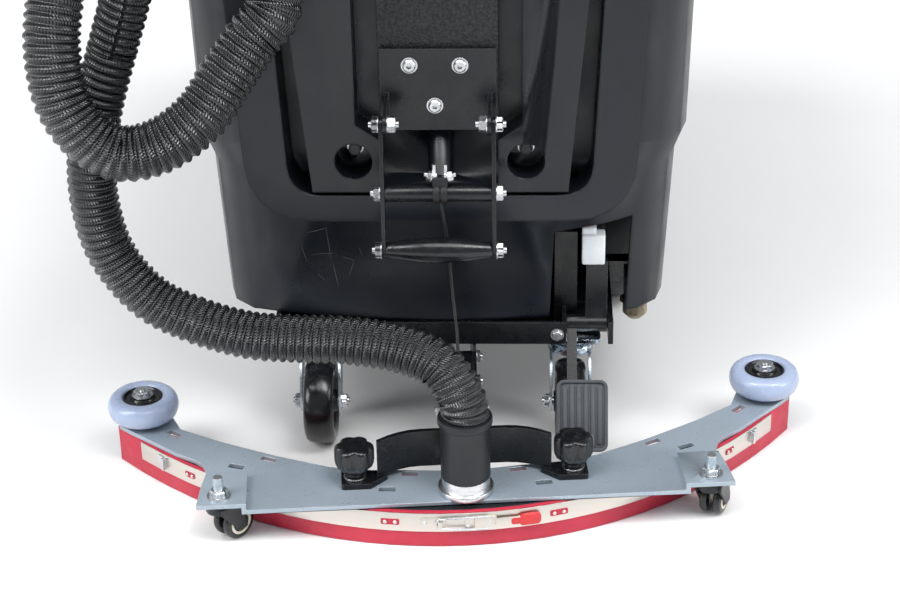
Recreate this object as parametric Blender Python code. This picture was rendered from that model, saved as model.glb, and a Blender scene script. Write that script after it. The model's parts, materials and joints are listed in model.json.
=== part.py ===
"""Walk-behind wet dry floor scrubber, built as separate solids, in metres, +Z up.

The machine travels along +Y and its operator walks behind it, at -Y. Body pieces are laid out
in the machine frame and squeegee pieces in the squeegee frame. In both, y = 0 is the line
through the squeegee's two bumper wheels and z = 0 is the floor.
"""

import math

import bmesh
import bpy
from mathutils import Matrix, Vector

GAP = 0.0003          # between pieces that touch
RUNNING = 0.0003      # radial clearance of a turning fit

# World origin under the middle of the machine's outline.
MIDDLE_X = 0.0123
MIDDLE_Y = 0.3685

# Squeegee swing: a vertical pin under the frame.
SWING_PIN_Y = 0.134
SWING_AT_REST = math.radians(5.265)
SWING_PIN_RADIUS = 0.008

# Frame
FRAME_BOTTOM = 0.1325
FRAME_THICKNESS = 0.027
FRAME_HALF_WIDTH = 0.190
FRAME_REAR = -0.005
FRAME_REAR_DEPTH = 0.175
RAIL_INNER = 0.110
RAIL_OUTER = 0.175
RAIL_FRONT = 0.860
FRAME_WALL = 0.004
FRAME_WING_HALF = 0.245
FRAME_TOP = FRAME_BOTTOM + FRAME_THICKNESS

# Lower body, which is the solution tank
BODY_BOTTOM = FRAME_TOP + GAP
BODY_FOOT_HALF = 0.248
BODY_BELT_HALF = 0.2575
BODY_STEP = 0.0115
BODY_TOP_HALF = 0.2745
BELT_LOW = 0.335
BELT_HIGH = 0.368
BODY_TOP = 0.602
BODY_FRONT = 0.930
BODY_WALL = 0.007
REAR_BOW_RADIUS = 0.80
REAR_CORNER = 0.062
FRONT_CORNER = 0.110
WEB_LOW = 0.325
WEB_HIGH = 0.333
WELL_WALL = 0.010
WELL_REAR = 0.056
WELL_SPLIT = 0.565
WELL_RIB = 0.008
RIM_LOW = 0.585
RIM_HALF = 0.232
RIM_FRONT = 0.785
FILLER_Y = 0.862
FILLER_RADIUS = 0.045

# U-shaped band and the bay in it that holds the column
BAND_FACE = -0.014
BAND_HALF = 0.224
BAND_BOTTOM = 0.289
BAND_CORNER = 0.075
BAND_WIDTH = 0.045
BAY_FLOOR = 0.036
BAY_BOTTOM = 0.3195

# Rear column
COLUMN_FACE = -0.0145
COLUMN_BACK = BAY_FLOOR - GAP
COLUMN_BOTTOM = 0.3240
COLUMN_FOOT_HALF = 0.138
COLUMN_TOP_HALF = 0.163
COLUMN_TOP = BODY_TOP + 0.298
COLUMN_TAPER_TOP = BODY_TOP - 0.002
CHANNEL_HALF = 0.089
CHANNEL_FLOOR = 0.0200
CHANNEL_NARROW = 0.063
CHANNEL_TOP = COLUMN_TOP - 0.060
CHANNEL_LIP = 0.0085
EYE_X = 0.0925
EYE_Z = 0.360
EYE_RADIUS = 0.0205
CONDUIT_RADIUS = 0.0135

# Electrics panel and the lift bracket on it
PANEL_HALF = 0.0635
PANEL_BOTTOM = 0.395
PANEL_TOP = COLUMN_TOP - 0.100
PANEL_FACE = -0.0055
BRACKET_HALF = 0.0613
BRACKET_BOTTOM = 0.395
BRACKET_TOP = 0.4865
BRACKET_THICKNESS = 0.0045
EAR_OUTER = 0.0565
EAR_THICKNESS = 0.004

# Lift lever
LEVER_PIVOT_Y = -0.050
LEVER_PIVOT_Z = 0.418
LEVER_GRIP_Y = -0.060
LEVER_GRIP_Z = 0.277
LEVER_BAR_SHARE = 0.54
LEVER_ARM_HALF = 0.008
LEVER_ARM_THICKNESS = 0.004
LEVER_PIN_RADIUS = 0.005
LEVER_BOLT_RADIUS = 0.004
LEVER_NUT_RADIUS = 0.0085
LEVER_NUT_LENGTH = 0.0068
LEVER_BAR_RADIUS = 0.0093
GRIP_END_RADIUS = 0.0085
GRIP_MID_RADIUS = 0.0140

# Pedal
PEDAL_PIVOT_Y = 0.020
PEDAL_PIVOT_Z = 0.146
PEDAL_PIN_RADIUS = 0.005
PEDAL_HUB_RADIUS = 0.010
PEDAL_SLOT_LEFT = 0.1375
PEDAL_SLOT_RIGHT = 0.1845
PEDAL_ARM_WIDTH = 0.011
PEDAL_BAR_WIDTH = 0.024
PEDAL_BAR_TOP = 0.2254
PAD_X = 0.155
PAD_Y = -0.065
PAD_Z = 0.0745
PAD_WIDTH = 0.057
PAD_LENGTH = 0.080
PAD_THICKNESS = 0.011
PAD_PLATE = 0.003
PAD_SLOPE = math.radians(60)

# Main wheels
WHEEL_RADIUS = 0.100
WHEEL_WIDTH = 0.042
WHEEL_X = 0.208
WHEEL_Y = 0.395
AXLE_RADIUS = 0.009

# Rear casters
CASTER_X = 0.143
CASTER_Y = 0.035
CASTER_TRAIL = 0.025
CASTER_WHEEL_RADIUS = 0.050
CASTER_WHEEL_WIDTH = 0.035
CASTER_PLATE_HALF = 0.0335
CASTER_PLATE_THICKNESS = 0.0045
CASTER_RACE_DEPTH = 0.0085
CASTER_CROWN_DEPTH = 0.0100
CASTER_LEG_INNER = 0.0205
CASTER_LEG_THICKNESS = 0.003
CASTER_AXLE_RADIUS = 0.005
CASTER_NUT_RADIUS = 0.0080
CASTER_NUT_LENGTH = 0.0065

# Brush deck, shown raised
DECK_Y = 0.700
DECK_RADIUS = 0.2630
DECK_LIFT = 0.035
BRUSH_RADIUS = 0.2540
BRUSH_BORE = 0.120
BRISTLE_LENGTH = 0.042
BRUSH_PLATE = 0.012
BRUSH_FLOOR_GAP = 0.001
SKIRT_THICKNESS = 0.0065
SKIRT_HEIGHT = 0.056
DECK_THICKNESS = 0.014
DECK_MOTOR_RADIUS = 0.065
DECK_MOTOR_HEIGHT = 0.170
SPINDLE_RADIUS = 0.012
DECK_POST_X = 0.1425
DECK_POST_RADIUS = 0.007

# Vacuum motor, under the battery well
VACUUM_Y = 0.275
VACUUM_RADIUS = 0.064
VACUUM_HEIGHT = 0.140

# Batteries
BATTERY_LENGTH = 0.340
BATTERY_WIDTH = 0.172
BATTERY_HEIGHT = 0.220
BATTERY_Y = 0.251
BATTERY_SPACING = 0.020
TERMINAL_RADIUS = 0.009

# Recovery tank and lid
TANK_BOTTOM = BODY_TOP + 0.0025
TANK_TOP = BODY_TOP + 0.258
TANK_FOOT_HALF = 0.262
TANK_TOP_HALF = 0.250
TANK_REAR = 0.045
TANK_FRONT = 0.800
TANK_WALL = 0.006
LID_HEIGHT = 0.040
LID_WALL = 0.006
LID_OPEN_GAP = 0.0006
PORT_RADIUS = 0.0262
SUCTION_INLET = (-0.215, BODY_TOP + 0.143)
DRAIN_OUTLET = (-0.200, BODY_TOP + 0.058)
PORT_FACE = 0.020
CLIP_Z = BODY_TOP + 0.166

# Console, handle and controls
CONSOLE_HALF = 0.170
CONSOLE_REAR = -0.075
CONSOLE_FRONT = 0.034
CONSOLE_TOP = COLUMN_TOP + 0.065
HANDLE_RADIUS = 0.0125
HANDLE_HALF = 0.245
HANDLE_REAR = -0.140
HANDLE_Z = CONSOLE_TOP + 0.0215
BAIL_RADIUS = 0.006
BAIL_HALF = 0.155
BAIL_PIVOT_Y = -0.086
BAIL_PIVOT_Z = CONSOLE_TOP - 0.035
BAIL_REAR = -0.122
BAIL_HIGH = CONSOLE_TOP - 0.011
BAIL_PIN_RADIUS = 0.003
KEY_X = -0.095
SWITCH_XS = {"switch_brush": -0.035, "switch_vacuum": 0.020}
SWITCH_Y = -0.020
SWITCH_LENGTH = 0.026
SWITCH_WIDTH = 0.014
SWITCH_TILT = math.radians(8)
STOP_X = 0.105
STOP_RADIUS = 0.018
STOP_STEM_RADIUS = 0.007
STOP_TRAVEL = 0.005

# Drain cock
DRAIN_X = 0.217
DRAIN_Y = 0.060
DRAIN_RADIUS = 0.0140
DRAIN_FLANGE = 0.0175
DRAIN_DEPTH = 0.027
DRAIN_STUB = 0.009

# Squeegee
PLATE_TOP = 0.049
PLATE_THICKNESS = 0.005
WING_RISE = 0.008
WING_INNER = 0.2385
WING_OUTER = 0.2835
WING_FRONT = -0.1400
PLATE_REAR = -0.1990
BUMPER_X = 0.355
BUMPER_RADIUS = 0.040
BUMPER_WIDTH = 0.026
BUMPER_SEAT = 0.030
BUMPER_BOLT_RADIUS = 0.006
BUMPER_LOW = PLATE_TOP + 0.006
STEM_X = 0.263
STEM_Y = -0.181
STEM_RADIUS = 0.0055
STEM_TOP = 0.080
STEM_PIN_RADIUS = 0.004
STEM_WHEEL_RADIUS = 0.020
STEM_WHEEL_WIDTH = 0.025
STEM_TRAIL = 0.018
STEM_TURNS = {"left": math.radians(135), "right": math.radians(152)}
PORT_Y = -0.176
SQUEEGEE_PORT_RADIUS = 0.0225
PORT_FLANGE_RADIUS = 0.0300
PORT_FLANGE_HEIGHT = 0.006
CUFF_RADIUS = 0.0268
CUFF_TOP = 0.140
BLADE_REAR = -0.2130
BLADE_BOW = 1.20
BLADE_HOOK = 1.35
BLADE_THICKNESS = 0.0042
BLADE_STEP = 0.0275
BLADE_STEPS = 14
CARRIER_STEPS = 13
BLADE_BOTTOM = 0.0010
CARRIER_WALL = 0.003
CARRIER_BOTTOM = 0.018
CARRIER_FRONT = -0.1460
CARRIER_BOW = 1.00
CARRIER_HOOK = 0.80
STRAP_THICKNESS = 0.0012
STRAP_LOW = 0.0200
STRAP_HIGH = 0.0425
LATCH_PIVOT_X = 0.012
LATCH_END_X = 0.076
LATCH_THICKNESS = 0.0050
ARCH_BOTTOM = 0.0545
ARCH_TOP = 0.0980
ARCH_THICKNESS = 0.006
ARCH_END = 0.094
ARCH_SWEEP = 8.0
ARCH_Y = -0.1325
KNOB_X = 0.1180
KNOB_Y = -0.152
KNOB_RADIUS = 0.0215
KNOB_STEM_RADIUS = 0.0060
KNOB_LOW = 0.068
KNOB_HIGH = 0.096
FOOT_THICKNESS = 0.0065

# Squeegee lift linkage
LINK_LENGTH = 0.115
LINK_UPPER_Z = 0.112
LINK_LOWER_Z = 0.080
LINK_HALF = 0.0190
LINK_EDGE = 0.007
LINK_PIN_RADIUS = 0.005
CLEVIS_WALL = 0.004
CABLE_EYE_Y = -0.066
CABLE_EYE_Z = 0.150
CLEVIS_INNER = LINK_HALF + 0.0006

# Hoses and cable
SUCTION_RADIUS = 0.026
DRAIN_HOSE_RADIUS = 0.029
CABLE_RADIUS = 0.0018

BLACK = ("body_black", (0.012, 0.015, 0.022), 0.45, 0.0)
COATED = ("coated_steel_black", (0.015, 0.016, 0.020), 0.40, 0.6)
GREY = ("coated_plate_grey", (0.42, 0.48, 0.54), 0.40, 0.7)
ZINC = ("zinc", (0.62, 0.66, 0.70), 0.28, 1.0)
STAINLESS = ("stainless", (0.60, 0.57, 0.52), 0.35, 1.0)
ALLOY = ("alloy", (0.70, 0.72, 0.74), 0.35, 1.0)
RED_RUBBER = ("red_rubber", (0.50, 0.015, 0.035), 0.60, 0.0)
BLACK_RUBBER = ("black_rubber", (0.015, 0.016, 0.018), 0.70, 0.0)
GREY_RUBBER = ("grey_rubber", (0.07, 0.08, 0.09), 0.75, 0.0)
PALE_TREAD = ("pale_tread", (0.38, 0.48, 0.68), 0.45, 0.0)
TANK_GREY = ("tank_grey", (0.18, 0.22, 0.27), 0.50, 0.0)
RED_PLASTIC = ("red_plastic", (0.60, 0.02, 0.02), 0.35, 0.0)
BRASS = ("brass", (0.60, 0.50, 0.30), 0.35, 1.0)
BRISTLE = ("bristle_blue", (0.02, 0.10, 0.35), 0.60, 0.0)
BATTERY_GREY = ("battery_grey", (0.10, 0.10, 0.11), 0.50, 0.0)


def clear_scene():
    for leftover in list(bpy.data.objects):
        bpy.data.objects.remove(leftover, do_unlink=True)


# ---------------------------------------------------------------- shapes


def closed(shape):
    bmesh.ops.remove_doubles(shape, verts=shape.verts[:], dist=1e-7)
    bmesh.ops.recalc_face_normals(shape, faces=shape.faces[:])
    return shape


def lofted(rings):
    """A solid through rings of the same number of 3D points, with flat ends."""
    shape = bmesh.new()
    rows = [[shape.verts.new(point) for point in ring] for ring in rings]
    for low, high in zip(rows, rows[1:]):
        for i in range(len(low)):
            j = (i + 1) % len(low)
            shape.faces.new((low[i], low[j], high[j], high[i]))
    shape.faces.new(rows[0][::-1])
    shape.faces.new(rows[-1])
    return closed(shape)


def prism(outline, axis, low, high):
    """An outline in the plane square to the axis, in X, Y, Z order, drawn out along the axis."""
    lift = {
        "x": lambda a, b, h: (h, a, b),
        "y": lambda a, b, h: (a, h, b),
        "z": lambda a, b, h: (a, b, h),
    }[axis]
    return lofted([[lift(a, b, h) for a, b in outline] for h in (low, high)])


def box(low, high):
    outline = [(low[0], low[1]), (high[0], low[1]), (high[0], high[1]), (low[0], high[1])]
    return prism(outline, "z", low[2], high[2])


def turned(profile, centre, axis="z", segments=24):
    """A closed profile of (radius, height) points spun about the axis through the centre."""
    shape = bmesh.new()
    columns = []
    for radius, height in profile:
        if radius < 1e-9:
            columns.append([shape.verts.new((0, 0, height))] * segments)
            continue
        ring = []
        for i in range(segments):
            angle = 2 * math.pi * i / segments
            ring.append(shape.verts.new((radius * math.cos(angle), radius * math.sin(angle), height)))
        columns.append(ring)
    for first, second in zip(columns, columns[1:] + columns[:1]):
        for i in range(segments):
            j = (i + 1) % segments
            corners = []
            for vert in (first[i], first[j], second[j], second[i]):
                if vert not in corners:
                    corners.append(vert)
            if len(corners) > 2:
                shape.faces.new(corners)
    turn = {
        "x": Matrix.Rotation(math.pi / 2, 4, "Y"),
        "y": Matrix.Rotation(-math.pi / 2, 4, "X"),
        "z": Matrix.Identity(4),
    }[axis]
    bmesh.ops.transform(shape, matrix=Matrix.Translation(centre) @ turn, verts=shape.verts[:])
    return closed(shape)


def rod(radius, centre, axis, low, high, segments=16):
    """A round bar along the axis, from low to high on that axis."""
    place = dict(zip("xyz", centre))
    place[axis] = 0.0
    profile = [(0, low), (radius, low), (radius, high), (0, high)]
    return turned(profile, tuple(place.values()), axis, segments)


def nut(radius, centre, axis, low, high):
    return rod(radius, centre, axis, low, high, segments=6)


def swept(points, radius, segments=12):
    """A round bar along a line of points."""
    points = [Vector(point) for point in points]
    ways = [(b - a).normalized() for a, b in zip(points, points[1:])]
    across = ways[0].orthogonal().normalized()
    rings = []
    for i, point in enumerate(points):
        before = ways[max(i - 1, 0)]
        after = ways[min(i, len(ways) - 1)]
        way = (before + after).normalized()
        across = (across - across.dot(before) * before).normalized()
        stretch = 1 / max(0.3, way.dot(before))
        side = way.cross(across).normalized()
        flat = side.cross(way).normalized()
        bend = (after - before)
        bend = bend.normalized() if bend.length > 1e-6 else flat
        ring = []
        for k in range(segments):
            angle = 2 * math.pi * k / segments
            arm = (flat * math.cos(angle) + side * math.sin(angle)) * radius
            ring.append(point + arm + bend * arm.dot(bend) * (stretch - 1))
        rings.append(ring)
        across = (across - across.dot(after) * after).normalized()
    return lofted(rings)


def stadium(first, second, half, steps=6):
    """The outline of a flat link with round ends about two points."""
    way = math.atan2(second[1] - first[1], second[0] - first[0])
    outline = []
    for centre, start in ((second, way - math.pi / 2), (first, way + math.pi / 2)):
        for i in range(steps + 1):
            angle = start + math.pi * i / steps
            outline.append((centre[0] + half * math.cos(angle), centre[1] + half * math.sin(angle)))
    return outline


def rounded(corners, radius, steps=4):
    """A polygon with its corners rounded."""
    outline = []
    count = len(corners)
    for i in range(count):
        before, here, after = (Vector(corners[(i + k) % count]) for k in (-1, 0, 1))
        to_before = (before - here).normalized()
        to_after = (after - here).normalized()
        half = to_before.angle(to_after) / 2
        reach = min(radius / math.tan(half), 0.49 * (before - here).length, 0.49 * (after - here).length)
        start = here + to_before * reach
        end = here + to_after * reach
        for k in range(steps + 1):
            t = k / steps
            point = start * (1 - t) ** 2 + here * 2 * t * (1 - t) + end * t**2
            outline.append(tuple(point))
    return outline


def mirrored(shape_maker):
    return [shape_maker(side) for side in (-1, 1)]


def spread(a, b, count):
    return [a + (b - a) * i / (count - 1) for i in range(count)]


# ---------------------------------------------------------------- objects


def material_of(look):
    name, colour, roughness, metallic = look
    found = bpy.data.materials.get(name)
    if found:
        return found
    made = bpy.data.materials.new(name)
    made.use_nodes = True
    shader = made.node_tree.nodes["Principled BSDF"]
    shader.inputs["Base Color"].default_value = (*colour, 1)
    shader.inputs["Roughness"].default_value = roughness
    shader.inputs["Metallic"].default_value = metallic
    made.diffuse_color = (*colour, 1)
    return made


def object_of(name, shape):
    mesh = bpy.data.meshes.new(name)
    shape.to_mesh(mesh)
    shape.free()
    made = bpy.data.objects.new(name, mesh)
    bpy.context.scene.collection.objects.link(made)
    return made


def joined(base, tools):
    """Applies each (operation, shape) to the base with an exact Boolean."""
    for number, (operation, shape) in enumerate(tools):
        tool = object_of(f"tool_{number}", shape)
        modifier = base.modifiers.new("join", "BOOLEAN")
        modifier.operation = operation
        modifier.solver = "EXACT"
        modifier.object = tool
        graph = bpy.context.evaluated_depsgraph_get()
        mesh = bpy.data.meshes.new_from_object(base.evaluated_get(graph))
        base.modifiers.clear()
        worn = base.data
        base.data = mesh
        bpy.data.meshes.remove(worn)
        spent = tool.data
        bpy.data.objects.remove(tool, do_unlink=True)
        bpy.data.meshes.remove(spent)
    return base


def smooth(made, angle=35):
    made.data.shade_smooth()
    made.data.set_sharp_from_angle(angle=math.radians(angle))


def piece(name, look, frame, base, adds=(), cuts=(), origin=(0, 0, 0), round_shape=False, late=(),
          bores=()):
    """A named solid in a frame, with its origin on a point of it. Late shapes join after the cuts, and bores go last."""
    made = object_of(name, base)
    joined(made, [("UNION", shape) for shape in adds] + [("DIFFERENCE", shape) for shape in cuts]
           + [("UNION", shape) for shape in late] + [("DIFFERENCE", shape) for shape in bores])
    made.data.transform(Matrix.Translation(-Vector(origin)))
    made.data.materials.clear()
    made.data.materials.append(material_of(look))
    made.parent = frame
    made.location = origin
    if round_shape:
        smooth(made)
    return made


def frame_at(name, x, y, turn, parent=None):
    made = bpy.data.objects.new(name, None)
    bpy.context.scene.collection.objects.link(made)
    made.location = (x, y, 0)
    made.rotation_euler = (0, 0, turn)
    made.parent = parent
    return made


# ---------------------------------------------------------------- frame and body


def frame_shapes():
    adds = []
    for side in (-1, 1):
        low, high = sorted((side * RAIL_INNER, side * RAIL_OUTER))
        adds.append(box((low, FRAME_REAR + 0.05, FRAME_BOTTOM), (high, RAIL_FRONT, FRAME_TOP)))
        low, high = sorted((side * (RAIL_OUTER - 0.010), side * (RAIL_OUTER - 0.003)))
        hanger = [(WHEEL_Y - 0.035, FRAME_BOTTOM + 0.002), (WHEEL_Y + 0.035, FRAME_BOTTOM + 0.002),
                  (WHEEL_Y + 0.016, WHEEL_RADIUS - 0.016), (WHEEL_Y - 0.016, WHEEL_RADIUS - 0.016)]
        adds.append(prism(hanger, "x", low, high))
    adds.append(box((-FRAME_WING_HALF, RAIL_FRONT - 0.055, FRAME_BOTTOM), (FRAME_WING_HALF, RAIL_FRONT, FRAME_TOP)))
    wing_end = FRAME_REAR + FRAME_REAR_DEPTH
    adds.append(box((-FRAME_WING_HALF, wing_end - 0.020, FRAME_BOTTOM), (FRAME_WING_HALF, wing_end, FRAME_TOP)))
    axle_end = WHEEL_X + WHEEL_WIDTH / 2 + GAP
    adds.append(rod(AXLE_RADIUS, (0, WHEEL_Y, WHEEL_RADIUS), "x", -axle_end - 0.001, axle_end + 0.001))
    for side in (-1, 1):
        low, high = sorted((side * axle_end, side * (axle_end + 0.004)))
        adds.append(rod(AXLE_RADIUS + 0.006, (0, WHEEL_Y, WHEEL_RADIUS), "x", low, high))
    pin_low = FRAME_BOTTOM - 0.0335 - 0.006
    adds.append(rod(SWING_PIN_RADIUS, (0, SWING_PIN_Y, 0), "z", pin_low, FRAME_BOTTOM + 0.002))
    adds.append(rod(SWING_PIN_RADIUS + 0.006, (0, SWING_PIN_Y, 0), "z", pin_low, pin_low + 0.0055))
    return adds


def frame_pockets():
    """The frame is folded plate, so each member is a tray that is open at the top."""
    floor = FRAME_BOTTOM + FRAME_WALL
    top = FRAME_TOP + 0.01
    wing_end = FRAME_REAR + FRAME_REAR_DEPTH
    cuts = [box((-FRAME_HALF_WIDTH + FRAME_WALL, FRAME_REAR + FRAME_WALL, floor),
                (PEDAL_SLOT_LEFT - FRAME_WALL, wing_end - 0.024, top)),
            box((-RAIL_INNER + FRAME_WALL, RAIL_FRONT - 0.051, floor),
                (RAIL_INNER - FRAME_WALL, RAIL_FRONT - FRAME_WALL, top))]
    for side in (-1, 1):
        low, high = sorted((side * (RAIL_INNER + FRAME_WALL), side * (RAIL_OUTER - FRAME_WALL)))
        cuts.append(box((low, wing_end + FRAME_WALL, floor), (high, RAIL_FRONT - 0.059, top)))
        cuts.append(rod(DECK_POST_RADIUS + 0.001, (side * DECK_POST_X, DECK_Y, 0), "z", FRAME_BOTTOM - 0.01, top))
    return cuts


def chassis_frame(machine):
    """Deck plate, rails, axle, swing pin and the fork that carries the pedal."""
    rear = box((-FRAME_HALF_WIDTH, FRAME_REAR, FRAME_BOTTOM),
               (FRAME_HALF_WIDTH, FRAME_REAR + FRAME_REAR_DEPTH, FRAME_TOP))
    slot = box((PEDAL_SLOT_LEFT, FRAME_REAR - 0.01, FRAME_BOTTOM - 0.01),
               (PEDAL_SLOT_RIGHT, PEDAL_PIVOT_Y + 0.026, FRAME_TOP + 0.01))
    late = [
        rod(PEDAL_PIN_RADIUS, (0, PEDAL_PIVOT_Y, PEDAL_PIVOT_Z), "x",
            PEDAL_SLOT_LEFT - 0.004, PEDAL_SLOT_RIGHT + 0.003),
        box((PEDAL_SLOT_LEFT - 0.013, PEDAL_PIVOT_Y + 0.014, FRAME_TOP - 0.004),
            (PEDAL_SLOT_LEFT + 0.0125, PEDAL_PIVOT_Y + 0.020, FRAME_TOP + 0.094)),
        box((PEDAL_SLOT_LEFT - 0.013, PEDAL_PIVOT_Y + 0.014, FRAME_TOP - 0.004),
            (PEDAL_SLOT_LEFT - 0.001, PEDAL_PIVOT_Y + 0.034, FRAME_TOP + 0.004)),
        box((PEDAL_SLOT_LEFT - 0.013, PEDAL_PIVOT_Y + 0.014, FRAME_BOTTOM + 0.002),
            (PEDAL_SLOT_LEFT - 0.001, PEDAL_PIVOT_Y + 0.020, FRAME_TOP)),
    ]
    piece("chassis_frame", COATED, machine, rear, frame_shapes(), [slot] + frame_pockets(), late=late)


def plan_ring(half, rear, front, z):
    """One level of a rounded box: a bowed rear, tight rear corners and wide front corners."""
    ring = []
    flat = half - REAR_CORNER
    for x in spread(-flat, flat, 7):
        ring.append((x, rear + x * x / (2 * REAR_BOW_RADIUS), z))
    edge = rear + flat * flat / (2 * REAR_BOW_RADIUS)
    for step in (1, 2, 3):
        angle = math.radians(30 * step)
        ring.append((flat + REAR_CORNER * math.sin(angle), edge + REAR_CORNER * (1 - math.cos(angle)), z))
    wide = half - FRONT_CORNER
    for step in (0, 1, 2, 3, 4):
        angle = math.radians(22.5 * step)
        ring.append((wide + FRONT_CORNER * math.cos(angle),
                     front - FRONT_CORNER + FRONT_CORNER * math.sin(angle), z))
    right = [point for point in ring if point[0] > flat + 1e-6 or point[1] > edge + 1e-6]
    for x, y, height in reversed(right):
        ring.append((-x, y, height))
    return ring


def band_outline(inset, bottom, top, corner):
    half = BAND_HALF - inset
    foot = half - 0.016
    return [(-half, top)] + rounded([(-half, top), (-foot, bottom), (foot, bottom), (half, top)],
                                    corner, 5)[6:-6] + [(half, top)]


def solution_tank(machine):
    """Lower body: hollow underneath, with a battery well and a solution well open at the top."""
    levels = ((BODY_BOTTOM, BODY_FOOT_HALF, 0.0), (BELT_LOW, BODY_BELT_HALF, -0.001),
              (BELT_HIGH, BODY_BELT_HALF + BODY_STEP, -0.010), (BODY_TOP, BODY_TOP_HALF, -0.013))
    base = lofted([plan_ring(half, rear, BODY_FRONT + 4 * (half - BODY_TOP_HALF) / 4, z)
                   for z, half, rear in levels])
    band = prism(band_outline(0.0, BAND_BOTTOM, BODY_TOP, BAND_CORNER), "y", BAND_FACE, WELL_REAR - 0.012)
    bay = prism(band_outline(BAND_WIDTH, BAY_BOTTOM, BODY_TOP + 0.05, BAND_CORNER * 0.5), "y",
                BAND_FACE - 0.05, BAY_FLOOR)
    under = lofted([plan_ring(BODY_FOOT_HALF - BODY_WALL, BODY_WALL + 0.005, BODY_FRONT - 0.035, z)
                    for z in (BODY_BOTTOM - 0.01, WEB_LOW)])
    inside = ((WEB_HIGH, BODY_BELT_HALF - WELL_WALL), (BELT_HIGH + 0.004, BODY_BELT_HALF + BODY_STEP - WELL_WALL),
              (RIM_LOW, BODY_TOP_HALF - WELL_WALL))
    well = lofted([plan_ring(half, WELL_REAR, BODY_FRONT + half - BODY_TOP_HALF - WELL_WALL * 0.2, z)
                   for z, half in inside])
    mouth = lofted([plan_ring(RIM_HALF, WELL_REAR + 0.004, RIM_FRONT, z) for z in (RIM_LOW - 0.002, BODY_TOP + 0.01)])
    filler = rod(FILLER_RADIUS, (0, FILLER_Y, 0), "z", RIM_LOW - 0.002, BODY_TOP + 0.01, 24)
    edge = [(half + WELL_WALL * 0.3, z) for z, half in inside]
    edge[0] = (edge[0][0], WEB_HIGH - 0.002)
    edge[2] = (edge[2][0], RIM_LOW + 0.001)
    rib = prism([(-x, z) for x, z in edge] + edge[::-1], "y", WELL_SPLIT, WELL_SPLIT + WELL_RIB)
    low = BODY_BOTTOM - 0.01
    opening = prism([(0.1185, low), (0.1235, 0.2650), (0.1776, 0.2705), (0.2095, 0.2770), (0.2035, low)],
                    "y", -0.06, 0.07)
    boss = box((DRAIN_X - 0.0125, DRAIN_Y - 0.013, BODY_BOTTOM + 0.0005),
               (DRAIN_X + 0.0130, DRAIN_Y + 0.022, BODY_BOTTOM + 0.030))
    socket = rod(DRAIN_STUB + RUNNING, (DRAIN_X, DRAIN_Y, 0), "z", BODY_BOTTOM - 0.01, BODY_BOTTOM + 0.020)
    piece("solution_tank", BLACK, machine, base, [band], [bay, under, well, mouth, filler, opening],
          late=[boss, rib], bores=[socket])


def column_outline():
    return [(-COLUMN_FOOT_HALF, COLUMN_BOTTOM), (COLUMN_FOOT_HALF, COLUMN_BOTTOM),
            (COLUMN_TOP_HALF, COLUMN_TAPER_TOP), (COLUMN_TOP_HALF, COLUMN_TOP),
            (-COLUMN_TOP_HALF, COLUMN_TOP), (-COLUMN_TOP_HALF, COLUMN_TAPER_TOP)]


def rear_column(machine):
    """Two posts with a channel between them, a bolt eye at each foot and a cable conduit."""
    base = prism(column_outline(), "y", COLUMN_FACE, COLUMN_BACK)
    foot = COLUMN_BOTTOM + CHANNEL_LIP
    turn_in = EYE_Z + EYE_RADIUS + 0.004
    channel = [(-CHANNEL_NARROW, foot), (CHANNEL_NARROW, foot), (CHANNEL_NARROW, turn_in),
               (CHANNEL_HALF, turn_in + 0.018), (CHANNEL_HALF, CHANNEL_TOP), (-CHANNEL_HALF, CHANNEL_TOP),
               (-CHANNEL_HALF, turn_in + 0.018), (-CHANNEL_NARROW, turn_in)]
    cuts = [prism(channel, "y", COLUMN_FACE - 0.02, CHANNEL_FLOOR)]
    cuts += mirrored(lambda side: rod(EYE_RADIUS, (side * EYE_X, 0, EYE_Z), "y", COLUMN_FACE - 0.01,
                                      CHANNEL_FLOOR, 20))
    conduit = rod(CONDUIT_RADIUS, (0, CHANNEL_FLOOR - 0.010, 0), "z", foot - 0.002, PANEL_BOTTOM - GAP, 14)
    bosses = mirrored(lambda side: nut(0.0075, (side * EYE_X, 0, EYE_Z + 0.004), "y", CHANNEL_FLOOR - 0.011,
                                       CHANNEL_FLOOR + 0.003))
    piece("rear_column", BLACK, machine, base, (), cuts, late=[conduit] + bosses)


def column_panel(machine):
    base = box((-PANEL_HALF, PANEL_FACE, PANEL_BOTTOM), (PANEL_HALF, CHANNEL_FLOOR - GAP, PANEL_TOP))
    piece("column_panel", BLACK, machine, base)


def lever_point(share):
    return (LEVER_PIVOT_Y + share * (LEVER_GRIP_Y - LEVER_PIVOT_Y),
            LEVER_PIVOT_Z + share * (LEVER_GRIP_Z - LEVER_PIVOT_Z))


ARM_INNER = EAR_OUTER + 0.0005
ARM_OUTER = ARM_INNER + LEVER_ARM_THICKNESS
NUT_INNER = ARM_OUTER + 0.0005


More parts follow.
